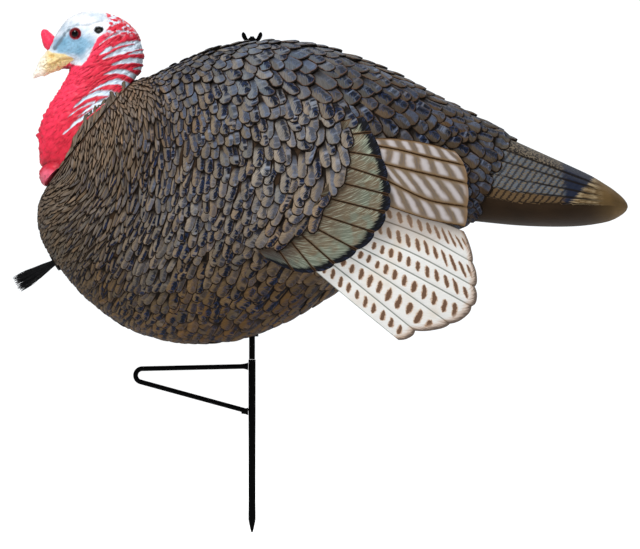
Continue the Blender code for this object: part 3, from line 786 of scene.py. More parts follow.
def build_tail(material):
    """The folded tail, its long feathers as stepped bands over a smooth underside."""
    rings = 130
    around = 200
    grid = loft_grid(TAIL_STATIONS, rings, around)
    x, z = grid[..., 0], grid[..., 2]
    top = height_of(TAIL_TOP, x)
    drop = (top - z) / np.maximum(top - height_of(TAIL_UNDER, x), 2)
    drop = np.clip(drop, 0, 2)
    band = np.clip(np.searchsorted(TAIL_BANDS, drop, side="right") - 1, 0, len(TAIL_BANDS) - 1)
    starts = np.array(TAIL_BANDS)
    ends = np.array(TAIL_BANDS[1:] + [2.0])
    across = (drop - starts[band]) / (ends - starts)[band]
    width = (ends - starts)[band] * np.maximum(top - height_of(TAIL_UNDER, x), 2)
    fade = 1 - smoothstep(452, 476, x)
    feathered = band < len(TAIL_BANDS) - 1
    relief = 0.6 + 1.5 * across - 0.9 * smoothstep(0.86, 1, across)
    relief = np.where(feathered, relief * fade, 0) * smoothstep(332, 346, x)
    centre = grid.mean(axis=1, keepdims=True)
    outward = unit((grid - centre) * (0.15, 1, 1))
    grid = grid + outward * relief[..., None]
    spigot = curve_at(TAIL_STATIONS, np.zeros(1)) - SPIGOT_INSET * np.array((0, 1, 0, -1, 1, 0))
    turns = np.arange(around) * 2 * math.pi / around
    inner = section_points(np.broadcast_to(spigot, (around, 6)), turns)
    grid = np.concatenate([(inner + SPIGOT_REACH)[None], inner[None], grid])
    points, groups = ring_solid(grid)
    edge = np.where(band == 0, 1 - across, np.minimum(across, 1 - across)) * width
    # The paint reads the band in tenths: 0 along the spine, and 0.5 for the plain underside.
    place = np.stack([across * 2 - 1, band / 10, edge], axis=-1)
    place = np.concatenate([place[:1], place[:1], place])
    add_piece(
        "tail_feathers", points, groups, material, "decoy_body",
        {"place": place.reshape(-1, 3)}, 60, ["tail"],
    )


# -------------------------------------------------------------------------------------------- head
WHITE = linear(222, 225, 231)
PALE_BLUE = linear(203, 219, 234)
SKY = linear(130, 170, 196)
DEEP_SKY = linear(104, 148, 174)
ROSE = linear(238, 58, 90)
CRIMSON = linear(226, 46, 74)
# Deep red of the neck's back, partly painted shade between its ridges; also the crown's patches.
STRIPE_RED = linear(196, 36, 56)
DARK_RED = linear(120, 12, 28)
PINK = linear(240, 112, 138)
BILL = linear(228, 206, 150)
BILL_DARK = linear(204, 168, 104)
BILL_PALE = linear(240, 232, 216)
GREY_LINE = linear(96, 110, 122)
BLACK = linear(0, 0, 0)
TAUPE_SHADE = linear(64, 50, 38)

# The pale mask of the face, the bill in front of it, and the lines drawn on them.
MASK_OUTLINE = [
    (-245, 629), (-236, 624), (-226, 623), (-219, 630), (-214, 641), (-210, 652), (-203, 661),
    (-193, 668), (-189, 678), (-193, 690), (-200, 705), (-260, 705), (-290, 670), (-290, 640),
]
BILL_OUTLINE = [
    (-277, 648), (-266, 641), (-250, 639), (-239, 634), (-237, 631), (-246, 626), (-262, 617),
    (-272, 605), (-300, 600), (-300, 640),
]
BROW_LINE = [(-263, 646), (-256, 655), (-249, 665), (-243, 671)]
WRINKLE_LINE = [(-246, 674), (-234, 678), (-221, 677), (-208, 681), (-199, 684)]
GAPE_LINE = [(-284, 621), (-268, 626), (-252, 632), (-238, 633)]
JAW_LINE = [(-262, 617), (-252, 621), (-243, 622)]
EAR = (-204.0, 671.0)
NOSTRIL = (-267.0, 637.0)
KNOB = (-267.0, 478.0)
KNOB_RADIUS = 16.0
KNOB_HEIGHT = 9.0
# The pale wedges of the neck: the half width of each, and its line from the front backwards.
NECK_WEDGES = [
    (1.2, [(-202, 651), (-192, 659), (-177, 667), (-162, 674)]),
    (2.0, [(-188, 645), (-174, 651), (-159, 655), (-144, 656)]),
    (2.0, [(-201, 638), (-193, 643), (-188, 646)]),
    (3.6, [(-197, 632), (-182, 639), (-166, 645), (-144, 652)]),
    (1.7, [(-165, 638), (-155, 641), (-142, 644)]),
    (3.0, [(-185, 624), (-172, 628), (-158, 631), (-142, 630)]),
    (1.7, [(-158, 619), (-153, 620), (-142, 622)]),
    (3.0, [(-196, 611), (-182, 615), (-169, 615), (-148, 605)]),
    (3.2, [(-201, 596), (-190, 600), (-177, 602), (-158, 594)]),
    (1.4, [(-214, 588), (-202, 595), (-193, 599)]),
    (3.2, [(-236, 567), (-222, 579), (-206, 586), (-188, 586), (-172, 580)]),
    (1.3, [(-243, 555), (-230, 565), (-217, 572), (-209, 574)]),
    (2.7, [(-230, 555), (-214, 567), (-198, 574), (-182, 582)]),
    (2.2, [(-249, 532), (-233, 547), (-217, 557), (-200, 572)]),
]
# Where the neck's hair-like feathers end on the head piece, from the nape down to the wattle.
# The outline closes under the neck's seat.
HAIR_OUTLINE = [
    (-152, 604), (-162, 597), (-180, 584), (-204, 562), (-224, 545), (-237, 526), (-242, 508),
    (-253, 490), (-276, 452), (-230, 480), (-150, 580),
]


def along_line(line, x, z):
    """Distance from each (x, z) to a line of points, and the share of the line passed there."""
    best = np.full(x.shape, 1e9)
    share = np.zeros(x.shape)
    for index, ((x0, z0), (x1, z1)) in enumerate(zip(line, line[1:])):
        square = (x1 - x0) ** 2 + (z1 - z0) ** 2
        along = np.clip(((x - x0) * (x1 - x0) + (z - z0) * (z1 - z0)) / square, 0, 1)
        distance = np.hypot(x - x0 - along * (x1 - x0), z - z0 - along * (z1 - z0))
        share = np.where(distance < best, (index + along) / (len(line) - 1), share)
        best = np.minimum(best, distance)
    return best, share


def soft_inside(outline, x, z, softness):
    """1 inside an outline and 0 outside it, with a soft edge."""
    within = inside(outline, np.stack([x.ravel(), z.ravel()], axis=1)).reshape(x.shape)
    away = along_line([*outline, outline[0]], x, z)[0]
    return smoothstep(-softness, softness, np.where(within, away, -away))


def rough(points, scale, seed, octaves=3):
    """Smooth noise from -1 to 1 at each point."""
    shifted = points.reshape(-1, 3) * scale + seed
    values = [noise.fractal(Vector(point), 1.0, 2.0, octaves) for point in shifted]
    return np.array(values).reshape(points.shape[:-1])


def mixed(colour, other, share):
    return colour + (np.array(other[:3]) - colour) * share[..., None]


def wedge_field(points, fine):
    """How pale the neck's wedges are, from 0 to 1."""
    x, z = points[..., 0], points[..., 2]
    pale = np.zeros(x.shape)
    for half_width, line in NECK_WEDGES:
        distance, share = along_line(line, x, z)
        reach = half_width * (0.25 + 0.9 * np.clip(1.8 * share, 0, 1)) + 0.9 * fine
        pale = np.maximum(pale, smoothstep(0.7, -0.7, distance - reach))
    return pale


def wrinkle_lines(points):
    """1 in the bottom of the fine folds that rise backwards over the neck, 0 on their crests."""
    lean = np.radians(32)
    turned = np.stack([
        0.045 * (points[..., 0] * math.cos(lean) + points[..., 2] * math.sin(lean)),
        0.07 * points[..., 1],
        0.20 * (points[..., 2] * math.cos(lean) - points[..., 0] * math.sin(lean)),
    ], axis=-1)
    return smoothstep(0.16, 0.0, np.abs(rough(turned, 1.0, 17.0, 3)))


class HeadFields:
    """Noise, distances and painted areas at each point of the head, for its paint and relief."""

    def __init__(self, points):
        x, z = points[..., 0], points[..., 2]
        self.points, self.x, self.z = points, x, z
        self.fine = rough(points, 0.16, 5.0)
        self.broad = rough(points, 0.06, 9.0)
        self.folds = wrinkle_lines(points)
        self.pale = wedge_field(points, self.fine)
        self.behind = x + 206 + 0.52 * np.clip(651 - z, -20, 200) + 9 * self.broad
        self.mask = soft_inside(MASK_OUTLINE, x + 1.8 * self.fine, z, 1.2)
        self.bill = soft_inside(BILL_OUTLINE, x, z, 0.9)
        self.haired = soft_inside(HAIR_OUTLINE, x, z, 1.0)
        self.from_eye = self.distance(EYE)
        self.from_knob = self.distance(KNOB)
        self.from_ear = self.distance(EAR, 1.35)
        self.from_nostril = self.distance(NOSTRIL, 1.7)

    def distance(self, place, stretch=1.0):
        """Distance from an (x, z) place, in rings stretched along x."""
        return np.hypot((self.x - place[0]) / stretch, self.z - place[1])

    def from_line(self, line):
        return along_line(line, self.x, self.z)[0]

    def filled(self, colour):
        return np.broadcast_to(colour[:3], self.points.shape).copy()


def paint_neck(head):
    """Rose in front and striped red behind, the red behind partly painted shade between the ridges,
    with painted shade in the folds, the pale wedges and a patched crown.
    """
    colour = head.filled(ROSE)
    colour = mixed(colour, CRIMSON, np.clip(smoothstep(600, 520, head.z) + 0.6 * head.fine, 0, 1))
    # Darker red towards the back of the neck: striped paint, partly painted shade between the ridges.
    colour = mixed(colour, STRIPE_RED, smoothstep(-10, 26, head.behind) * 0.9)
    # Painted shade: dark red in the bottoms of the fine folds.
    colour = mixed(colour, DARK_RED, head.folds * 0.42)
    edge = np.clip(4 * head.pale * (1 - head.pale), 0, 1)
    colour = mixed(mixed(colour, PALE_BLUE, head.pale), DARK_RED, 0.45 * edge)
    crown = smoothstep(-200, -190, head.x) * smoothstep(660, 672, head.z)
    patches = smoothstep(0.16, 0.30, rough(head.points * (0.6, 1, 1.6), 0.15, 21.0))
    return mixed(mixed(colour, STRIPE_RED, crown * 0.8), PALE_BLUE, crown * patches)


def paint_face(head):
    """The white and sky-blue mask with its brow, folds and grey lines."""
    x, z, fine, broad = head.x, head.z, head.fine, head.broad
    sky = np.exp(-(((x + 238) / 27) ** 2) - ((z - 651) / 15) ** 2)
    face = mixed(head.filled(WHITE), SKY, np.clip(1.7 * sky + 0.25 * broad, 0, 1))
    patch = np.exp(-(((x + 226) / 9) ** 2) - ((z - 641) / 7) ** 2)
    patch += np.exp(-(((x + 252) / 9) ** 2) - ((z - 656) / 7) ** 2)
    face = mixed(face, DEEP_SKY, np.clip(patch + 0.6 * broad, 0, 1) * 0.8)
    # Painted shade: grey in the bottoms of the folds on the face.
    face = mixed(face, GREY_LINE, 0.22 * head.folds)
    brow = smoothstep(3.0, 0.6, head.from_line(BROW_LINE) + 1.6 * fine)
    wrinkle = smoothstep(1.8, 0.3, head.from_line(WRINKLE_LINE) + fine)
    return mixed(mixed(face, GREY_LINE, 0.9 * brow), GREY_LINE, 0.45 * wrinkle)


def paint_bill(head):
    """Horn, dark along the gape and at the nostril, and pale at the tip."""
    gape = smoothstep(3.0, 0.6, head.from_line(GAPE_LINE) + head.fine)
    horn = mixed(head.filled(BILL), BILL_DARK, 0.7 * gape)
    horn = mixed(horn, BILL_PALE, smoothstep(-266, -286, head.x + 4 * head.fine))
    return mixed(horn, BILL_DARK, smoothstep(3.4, 1.5, head.from_nostril))


def head_colour(head):
    fine = head.fine
    mask = head.mask[..., None]
    colour = paint_neck(head) * (1 - mask) + paint_face(head) * mask
    colour = mixed(colour, DARK_RED, smoothstep(8.8, 7.6, head.from_eye))
    colour = mixed(colour, BLACK, smoothstep(5.4, 4.4, head.from_ear + fine))
    bill = head.bill[..., None]
    colour = colour * (1 - bill) + paint_bill(head) * bill
    under_jaw = smoothstep(3.0, 1.0, head.from_line(JAW_LINE)) * (1 - head.bill)
    colour = mixed(colour, DARK_RED, under_jaw * 0.8)
    colour = mixed(colour, TAUPE_SHADE, head.haired)
    # The knob: lighter pink towards its middle, partly its own paler paint and partly painted
    # highlight.
    colour = mixed(colour, PINK, smoothstep(13, 4, head.from_knob + 3 * fine) * 0.8)
    # Painted shade: dark red in the crease round the knob.
    crease_shade = smoothstep(3.2, 0.8, np.abs(head.from_knob - KNOB_RADIUS - 0.5) + fine)
    return mixed(colour, DARK_RED, crease_shade * 0.5)


def head_relief(head):
    """How far each point of the head stands out from its loft."""
    mask, bill, haired = head.mask, head.bill, head.haired
    front = smoothstep(4, -22, head.behind) * smoothstep(650, 610, head.z)
    lumps = rough(head.points * (1, 1, 1.4), 0.06, 31.0, 2)
    stripes = head.pale * smoothstep(-4, 12, head.behind)
    relief = front * smoothstep(620, 530, head.z) * (7.0 * np.abs(lumps) - 0.8)
    relief += (1 - mask) * (1.2 * head.fine - 1.5 * head.folds - 1.6 * stripes + 0.6)
    relief += mask * (0.5 * head.fine - 0.5 * head.folds)
    relief -= 3.4 * smoothstep(5.0, 2.6, head.from_ear)
    relief += 1.5 * smoothstep(10.5, 8.8, head.from_eye) * smoothstep(6.5, 8.0, head.from_eye)
    relief -= 1.3 * smoothstep(6.6, 5.0, head.from_eye)
    relief += 1.1 * smoothstep(5.0, 1.0, head.from_line(shift_line(BROW_LINE, 3))) * mask
    relief -= 0.9 * smoothstep(2.2, 0.4, head.from_line(WRINKLE_LINE)) * mask
    relief -= 1.1 * smoothstep(2.0, 0.5, head.from_line(GAPE_LINE)) * bill
    relief -= 1.0 * smoothstep(2.4, 1.0, head.from_nostril) * bill
    relief += 0.5 * bill * smoothstep(-284, -272, head.x)
    relief = relief * (1 - haired) - 0.3 * haired
    relief += KNOB_HEIGHT * np.sqrt(np.clip(1 - (head.from_knob / KNOB_RADIUS) ** 2, 0, 1))
    relief -= 1.6 * smoothstep(4.0, 0.5, np.abs(head.from_knob - KNOB_RADIUS - 1))
    return relief


def shift_line(line, rise):
    return [(x, z + rise) for x, z in line]


def build_head(material):
    rings = 300
    around = 200
    grid = loft_grid(HEAD_STATIONS, rings, around)
    head = HeadFields(grid)
    colour = head_colour(head)
    fade = smoothstep(0, 10, np.ptp(grid[..., 2], axis=1))[:, None]
    grid = grid + grid_normals(grid) * (head_relief(head) * fade)[..., None]
    grid = grid + np.clip(GAP - over_seat(grid), 0, None)[..., None] * NECK_NORMAL
    points, groups = solid_of_rings(grid)
    attributes = {"paint": colour.reshape(-1, 3)}
    add_piece(
        "head_and_bill", points, groups, material, "head_and_neck",
        attributes, 80, ["head"],
    )


def grid_normals(grid):
    """Outward normals of a loft grid."""
    along = np.gradient(grid, axis=0)
    around = np.roll(grid, -1, axis=1) - np.roll(grid, 1, axis=1)
    normals = unit(np.cross(around, along))
    away = ((grid - grid.mean(axis=1, keepdims=True)) * normals).sum(axis=-1)
    return normals * np.where(away.mean() > 0, 1, -1)


def circle_of(count, side, front):
    """Points round a circle of radius 1 through the directions side and front."""
    turns = np.arange(count) * 2 * math.pi / count
    return np.outer(np.cos(turns), side) + np.outer(np.sin(turns), front)


def turned_rings(rows, axis, aside, count):
    """Rings of a turned shape, from rows of (radius, distance along the axis)."""
    axis = unit(np.asarray(axis, float))
    side = unit(np.cross(axis, aside))
    circle = circle_of(count, side, np.cross(side, axis))
    return rows[:, 1, None, None] * axis + rows[:, 0, None, None] * circle[None]


def solid_of_rings(grid):
    """Points and faces of a closed loft, turned outwards."""
    points, groups = ring_solid(grid)
    facing = outwards(points, groups[:1])
    return points, groups if facing[0] is groups[0] else [group[:, ::-1] for group in groups]


def build_snood(material):
    rows = curve_at(SNOOD_PROFILE, np.linspace(0, 1, 60))
    grid = SNOOD_BASE + turned_rings(rows, SNOOD_LEAN, (0.0, 1.0, 0.0), 48)
    folds = rough(grid, 0.28, 2.0)
    grid = grid + unit(grid - SNOOD_BASE) * (0.7 * folds)[..., None]
    points, groups = solid_of_rings(grid)
    add_piece("snood_cone", points, groups, material, "head_and_neck", {}, 80, ["snood"])


def build_eyes(material):
    """Glass eyes, with their pole outwards for the ring and pupil."""
    for side, sign in (("left", -1), ("right", 1)):
        low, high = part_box(f"{side}_eye")
        centre = np.array((low + high) / 2) / MM
        arcs = np.radians(np.linspace(2, 178, 40))
        rows = EYE_RADIUS * np.stack([np.sin(arcs), np.cos(arcs)], axis=1)
        pole = (-0.12, sign, 0.05)
        grid = unit(turned_rings(rows, pole, (0.0, 0.0, 1.0), 48)) * EYE_RADIUS + centre
        points, groups = solid_of_rings(grid)
        pupil = np.repeat(np.sin(arcs) * np.where(np.cos(arcs) > 0, 1, 9), 48)
        attributes = {"place": np.stack([pupil, pupil, pupil], axis=1)}
        add_piece(
            f"{side}_glass_eye", points, groups, material, "head_and_neck",
            attributes, 80, [f"{side}_eye"],
        )


# ------------------------------------------------------------------------------------- beard, stake
BRISTLES = 420
BRISTLE_SIDES = 5
# How far the tuft's outermost bristles stand from its axis, at distances along it from the skin.
TUFT_REACH = [(-12, 3.1), (7, 3.3), (12, 4.8), (28, 7.6), (48, 10.2), (66, 11.6)]
TUFT_CLEARANCE = 13.6  # room round the tuft for its swing, free of body feathers
BRISTLE_ROOT = -11  # where the bristles start, along the tuft from the skin
BRISTLE_SHARES = np.array((0.0, 0.16, 0.3, 0.46, 0.64, 0.82, 1.0))
BRISTLE_TAPER = np.array((1.0, 1.0, 1.0, 0.95, 0.85, 0.65, 0.3))


def build_beard(material):
    """Stiff bristles that leave the breast as a tight tuft and fray towards their cut ends."""
    rng = np.random.default_rng(SEED + 4)
    direction = unit(BEARD_DIRECTION)
    side = np.array((0.0, 1.0, 0.0))
    up = np.cross(direction, side)
    along, outermost = np.transpose(TUFT_REACH)
    solids = []
    for _ in range(BRISTLES):
        turn = rng.uniform(0, 2 * math.pi)
        spread = math.sqrt(rng.uniform(0, 1))
        distance = BRISTLE_ROOT + rng.uniform(60, 76) * BRISTLE_SHARES
        fray = 1 + rng.normal(0, 0.08) * smoothstep(15, 45, distance)
        out = math.cos(turn) * side + math.sin(turn) * up
        reach = spread * fray * np.interp(distance, along, outermost)
        path = BEARD_ROOT + np.outer(distance, direction) + np.outer(reach, out)
        path = path + rng.normal(0, 0.4, path.shape) * smoothstep(10, 40, distance)[:, None]
        solids.append(bristle(path, rng.uniform(0.40, 0.58)))
    points, groups, _ = joined(solids)
    add_piece("bristle_tuft", points, groups, material, "beard", {}, 60, ["beard_bristles"])


def bristle(path, radius):
    side = np.array((0.0, 1.0, 0.0))
    circle = circle_of(BRISTLE_SIDES, side, unit(np.cross(BEARD_DIRECTION, side)))
    thin = radius * BRISTLE_TAPER
    points, groups = solid_of_rings(path[:, None] + thin[:, None, None] * circle[None])
    return points, groups, {}


STEP_WIRE = 3.25
STEP_REACH = 156.0
STEP_TOP_Z = 222.0
STEP_TOP_DROP = 3.2
STEP_BEND = 9.0
STEP_TILT = math.radians(15.3)
SPIKE_RADIUS = 4.76
BEAD_LENGTH = 9
BEAD_FLARE = 1.9


def tube(path, radius, count=20):
    """A round wire along a path in the XZ plane."""
    path = np.asarray(path, float)
    ahead = unit(np.gradient(path, axis=0))
    side = np.array((0.0, 1.0, 0.0))
    up = np.cross(ahead, side)
    turns = np.arange(count) * 2 * math.pi / count
    ring = np.cos(turns)[None, :, None] * side + np.sin(turns)[None, :, None] * up[:, None]
    radius = np.broadcast_to(radius, len(path))
    return solid_of_rings(path[:, None] + radius[:, None, None] * ring)


def build_step(material):
    """The foot step's bent wire, with a weld bead where each end meets the spike."""
    near = -(SPIKE_RADIUS + GAP)
    bend_x = STEP_BEND - STEP_REACH
    bend_z = STEP_TOP_Z - STEP_TOP_DROP - STEP_BEND
    turns = np.linspace(math.pi / 2, 3 * math.pi / 2 - STEP_TILT, 24)
    bend = np.stack([np.cos(turns), 0 * turns, np.sin(turns)], axis=1) * STEP_BEND
    bend = bend + (bend_x, 0, bend_z)
    straight = np.linspace(0, 1, 14)[:, None]
    top_start = np.array((near, 0, STEP_TOP_Z))
    low_end = np.array((near, 0, bend[-1, 2] - (near - bend[-1, 0]) * math.tan(STEP_TILT)))
    upper = top_start + (bend[0] - top_start) * straight[:-1]
    lower = bend[-1] + (low_end - bend[-1]) * straight[1:]
    solids = [(*tube(np.concatenate([upper, bend, lower]), STEP_WIRE), {})]
    for end in (top_start, low_end):
        bead = np.linspace(0, 1, 9)
        path = end + np.outer(-BEAD_LENGTH * bead, (1, 0, 0))
        flare = STEP_WIRE + BEAD_FLARE * (1 - bead) ** 2 + 0.15 * np.sin(bead * 25)
        solids.append((*tube(path, flare, 24), {}))
    points, groups, _ = joined(solids)
    add_piece("foot_step_wire", points, groups, material, "stake", {}, 50, ["foot_step"])


# --------------------------------------------------------------------------------------- materials
LOW_GLOSS = 0.08  # the white studio would turn a glossier black grey


class Value:
    """A node's output. Sums, products and so on of values become math nodes."""

    def __init__(self, graph, socket):
        self.graph = graph
        self.socket = socket

    def __add__(self, other):
        return self.graph.math("ADD", self, other)

    def __radd__(self, other):
        return self.graph.math("ADD", other, self)

    def __sub__(self, other):
        return self.graph.math("SUBTRACT", self, other)

    def __rsub__(self, other):
        return self.graph.math("SUBTRACT", other, self)

    def __mul__(self, other):
        return self.graph.math("MULTIPLY", self, other)

    def __truediv__(self, other):
        return self.graph.math("DIVIDE", self, other)

    def __pow__(self, other):
        return self.graph.math("POWER", self, other)

    def __abs__(self):
        return self.graph.math("ABSOLUTE", self)


class Graph:
    """Builds a material's nodes with short calls. An input is a Value, a number or a colour."""

    def __init__(self, name, roughness=0.65):
        self.material = bpy.data.materials.new(name)
        self.material.use_nodes = True
        self.tree = self.material.node_tree
        self.shader = self.tree.nodes["Principled BSDF"]
        self.set(Roughness=roughness, Specular_IOR_Level=LOW_GLOSS)

    def put(self, socket, value):
        if isinstance(value, Value):
            self.tree.links.new(value.socket, socket)
        else:
            socket.default_value = value

    def set(self, **inputs):
        for label, value in inputs.items():
            self.put(self.shader.inputs[label.replace("_", " ")], value)

    def add(self, kind, inputs, output=0, **settings):
        node = self.tree.nodes.new("ShaderNode" + kind)
        for label, value in settings.items():
            setattr(node, label, value)
        for label, value in inputs.items():
            self.put(node.inputs[label], value)
        return Value(self, node.outputs[output])

    def math(self, operation, first, second=0.0):
        return self.add("Math", {0: first, 1: second}, operation=operation)

    def step(self, low, high, value):
        """0 below low and 1 above high, or the reverse where low is above high."""
        inputs = {"Value": value, "From Min": low, "From Max": high}
        return self.add("MapRange", inputs, interpolation_type="SMOOTHSTEP")

    def mix(self, share, first, second, blend="MIX"):
        inputs = {0: share, 6: first, 7: second}
        return self.add("Mix", inputs, 2, data_type="RGBA", blend_type=blend)

    def split(self, vector):
        """The three numbers of a vector."""
        node = self.tree.nodes.new("ShaderNodeSeparateXYZ")
        self.put(node.inputs[0], vector)
        return [Value(self, output) for output in node.outputs]

    def numbers_of(self, attribute):
        """The three numbers of an attribute."""
        return self.split(self.add("Attribute", {}, 1, attribute_name=attribute))

    def colour_of(self, attribute):
        return self.add("Attribute", {}, 0, attribute_name=attribute)

    def vector(self, x, y, z):
        return self.add("CombineXYZ", {0: x, 1: y, 2: z})

    def noise(self, vector, scale=1.0, detail=3.0):
        return self.add("TexNoise", {"Vector": vector, "Scale": scale, "Detail": detail})

    def place(self):
        """The point's place in the piece, in millimetres."""
        coordinates = self.add("TexCoord", {}, 3)
        return self.add("VectorMath", {0: coordinates, 3: 1 / MM}, operation="SCALE")

    def bump(self, height, strength, distance=0.5):
        inputs = {"Height": height, "Strength": strength, "Distance": distance * MM}
        self.set(Normal=self.add("Bump", inputs))

    def lighten(self, colour, value, low, high):
        """The colour times low to high, as value goes from 0 to 1."""
        factor = low + value * (high - low)
        grey = self.add("CombineXYZ", {0: factor, 1: factor, 2: factor})
        return self.mix(1.0, colour, grey, "MULTIPLY")


def feather_numbers(graph):
    """u, v, edge, width, length, seed, distance across and distance along of a feather's point."""
    u, v, edge = graph.numbers_of("place")
    width, length, seed = graph.numbers_of("form")
    across = u * width * 0.5
    along = v * length
    return u, v, edge, width, length, seed, across, along


def barb_noise(graph, across, along, seed, slant, fine=1.0):
    """Streaks that leave the shaft at a slant, as the barbs of a feather do."""
    slanted = along - across * slant
    vector = graph.vector(slanted * (0.7 * fine), across * 0.1, seed * 80.0)
    return graph.noise(vector, 1.0, 2.0)


def hair_noise(graph, across, along, seed):
    """Streaks that run along a narrow feather."""
    vector = graph.vector(across * 1.3, along * 0.07, seed * 80.0)
    return graph.noise(vector, 1.0, 3.0)


def feather_paint():
    """Body paint: taupe with pale barbs, a broken blue-black streak and brown outlines."""
    graph = Graph("body_feather_paint")
    u, v, edge, width, _, seed, across, along = feather_numbers(graph)
    blue, warm, pale = graph.numbers_of("grain")
    chevron = abs(across + width * 0.15)
    barbs = barb_noise(graph, chevron, along, seed, 1.3)
    hairs = hair_noise(graph, across, along, seed)
    barbs = barbs + graph.step(12.0, 7.0, width) * (hairs - barbs)
    patchy = graph.noise(graph.vector(across, along, seed * 60.0), 0.14, 2.0)
    cloud = graph.noise(graph.place(), 0.02, 2.0)
    colour = graph.lighten(graph.colour_of("tint"), barbs, 0.30, 2.10)
    colour = graph.lighten(colour, cloud, 0.76, 1.34)

    off_shaft = abs(u + (patchy * 0.5 + 0.12))
    reach = graph.step(0.15, 0.4, v) * graph.step(1.0, 0.9, v)
    halo = graph.step(0.62, 0.25, off_shaft) * reach * pale
    halo = halo * graph.step(0.3, 0.55, barbs)
    colour = graph.mix(halo * 0.8, colour, linear(104, 118, 142))

    breaks = graph.noise(graph.vector(along * 0.16, seed * 90.0, 0.0), 1.0, 1.0)
    wide = -0.5 + barbs * 1.75
    streak = graph.step(0.1, -0.08, off_shaft - wide)
    streak = streak * graph.step(0.3, 0.46, breaks)
    streak = streak * blue * (graph.step(0.25, 0.38, v) * graph.step(0.97, 0.9, v))
    ink = graph.mix(graph.step(0.5, 0.66, barbs), linear(10, 12, 18), linear(34, 46, 76))
    colour = graph.mix(streak * 0.92, colour, ink)

    line = 0.22 + width * 0.066
    wobble = (graph.noise(graph.place(), 0.35, 2.0) - 0.5) * 1.1
    scaled = edge / line + wobble
    rust = graph.mix(warm, linear(66, 46, 28), linear(88, 58, 34))
    colour = graph.mix(graph.step(2.1, 1.0, scaled) * 0.85, colour, rust)
    colour = graph.mix(graph.step(1.5, 0.7, scaled), colour, linear(12, 8, 5))
    # Painted shade: each feather's root end, under the tip of the feather before it, is darkened.
    root = graph.step(0.55, 0.2, v) * (0.5 + graph.step(6.0, 10.0, width))
    colour = graph.mix(root * 0.8, colour, linear(20, 14, 9))
    graph.set(Base_Color=colour)
    graph.bump(barbs, 0.8, 0.8)
    return graph.material


def fan_paint():
    """Wing fan: grey-green barbs, brown lines between feathers and a black rim."""
    graph = Graph("fan_feather_paint")
    _, v, edge, _, length, seed, across, along = feather_numbers(graph)
    barbs = barb_noise(graph, across, along, seed, -1.1, 1.1)
    patchy = graph.noise(graph.place(), 0.05, 2.0)
    colour = graph.mix(graph.step(0.3, 0.7, v), linear(96, 82, 66), linear(106, 112, 98))
    colour = graph.mix(graph.step(0.45, 0.62, patchy), colour, linear(104, 92, 74))
    colour = graph.lighten(colour, barbs, 0.5, 1.4)
    colour = graph.mix(graph.step(0.5, 0.68, barbs) * 0.7, colour, linear(156, 164, 146))
    front = graph.split(graph.place())[0] + (barbs - 0.5) * 30.0
    colour = graph.mix(graph.step(75.0, 35.0, front) * 0.75, colour, linear(40, 38, 42))
    tip = (1.0 - v) * length
    ragged = tip + (barbs - 0.5) * 14.0
    colour = graph.mix(graph.step(13.5, 8.5, ragged), colour, linear(12, 13, 17))
    sheen = graph.step(6.5, 2.0, tip) * graph.step(0.5, 0.7, barbs)
    colour = graph.mix(sheen, colour, linear(44, 52, 76))
    wobble = graph.noise(graph.place(), 0.3, 2.0) * 1.1
    colour = graph.mix(graph.step(3.2, 1.6, edge + wobble) * 0.7, colour, linear(88, 62, 36))
    colour = graph.mix(graph.step(2.0, 0.9, edge + wobble), colour, linear(34, 22, 12))
    # Painted shade: the fan feathers' roots, under the coverts, are darkened to dark brown.
    colour = graph.mix(graph.step(0.38, 0.05, v) * 0.75, colour, linear(44, 32, 20))
    graph.set(Base_Color=colour)
    graph.bump(barbs, 0.8, 0.8)
    return graph.material


def buff_paint():
    """Secondaries: buff with slanted pearly bars and brown lines between feathers."""
    graph = Graph("buff_feather_paint", 0.5)
    u, v, edge, _, length, seed, across, along = feather_numbers(graph)
    barbs = barb_noise(graph, across, along, seed, BUFF_BAR_SLANT, 0.8)
    slanted = along - across * BUFF_BAR_SLANT
    shifted = slanted + (graph.noise(graph.place(), 0.08, 2.0) - 0.5) * 6.0
    wave = graph.math("COSINE", shifted * (2 * math.pi / BUFF_BAR_PITCH))
    within = graph.step(0.98, 0.45, abs(u))
    pearl = graph.step(-0.8, 1.15, wave) * within
    # Painted shade: dark taupe in the valleys between the pearly ridges.
    valley_shade = graph.step(0.35, -0.5, wave) * (within * graph.step(0.35, 0.6, barbs))
    colour = graph.lighten(linear(120, 103, 82), barbs, 0.6, 1.4)
    colour = graph.mix(valley_shade * 0.7, colour, linear(92, 84, 82))
    colour = graph.mix(pearl * 0.8, colour, linear(184, 179, 182))
    outline = edge + graph.noise(graph.place(), 0.25, 2.0) * 1.4
    colour = graph.mix(graph.step(5.0, 2.0, outline) * 0.75, colour, linear(112, 88, 60))
    colour = graph.mix(graph.step(2.3, 1.2, outline), colour, linear(60, 40, 20))
    tip = (1.0 - v) * length
    colour = graph.mix(graph.step(7.0, 1.0, tip) * 0.75, colour, linear(122, 96, 68))
    graph.set(Base_Color=colour)
    graph.bump(barbs, 0.45, 0.6)
    return graph.material


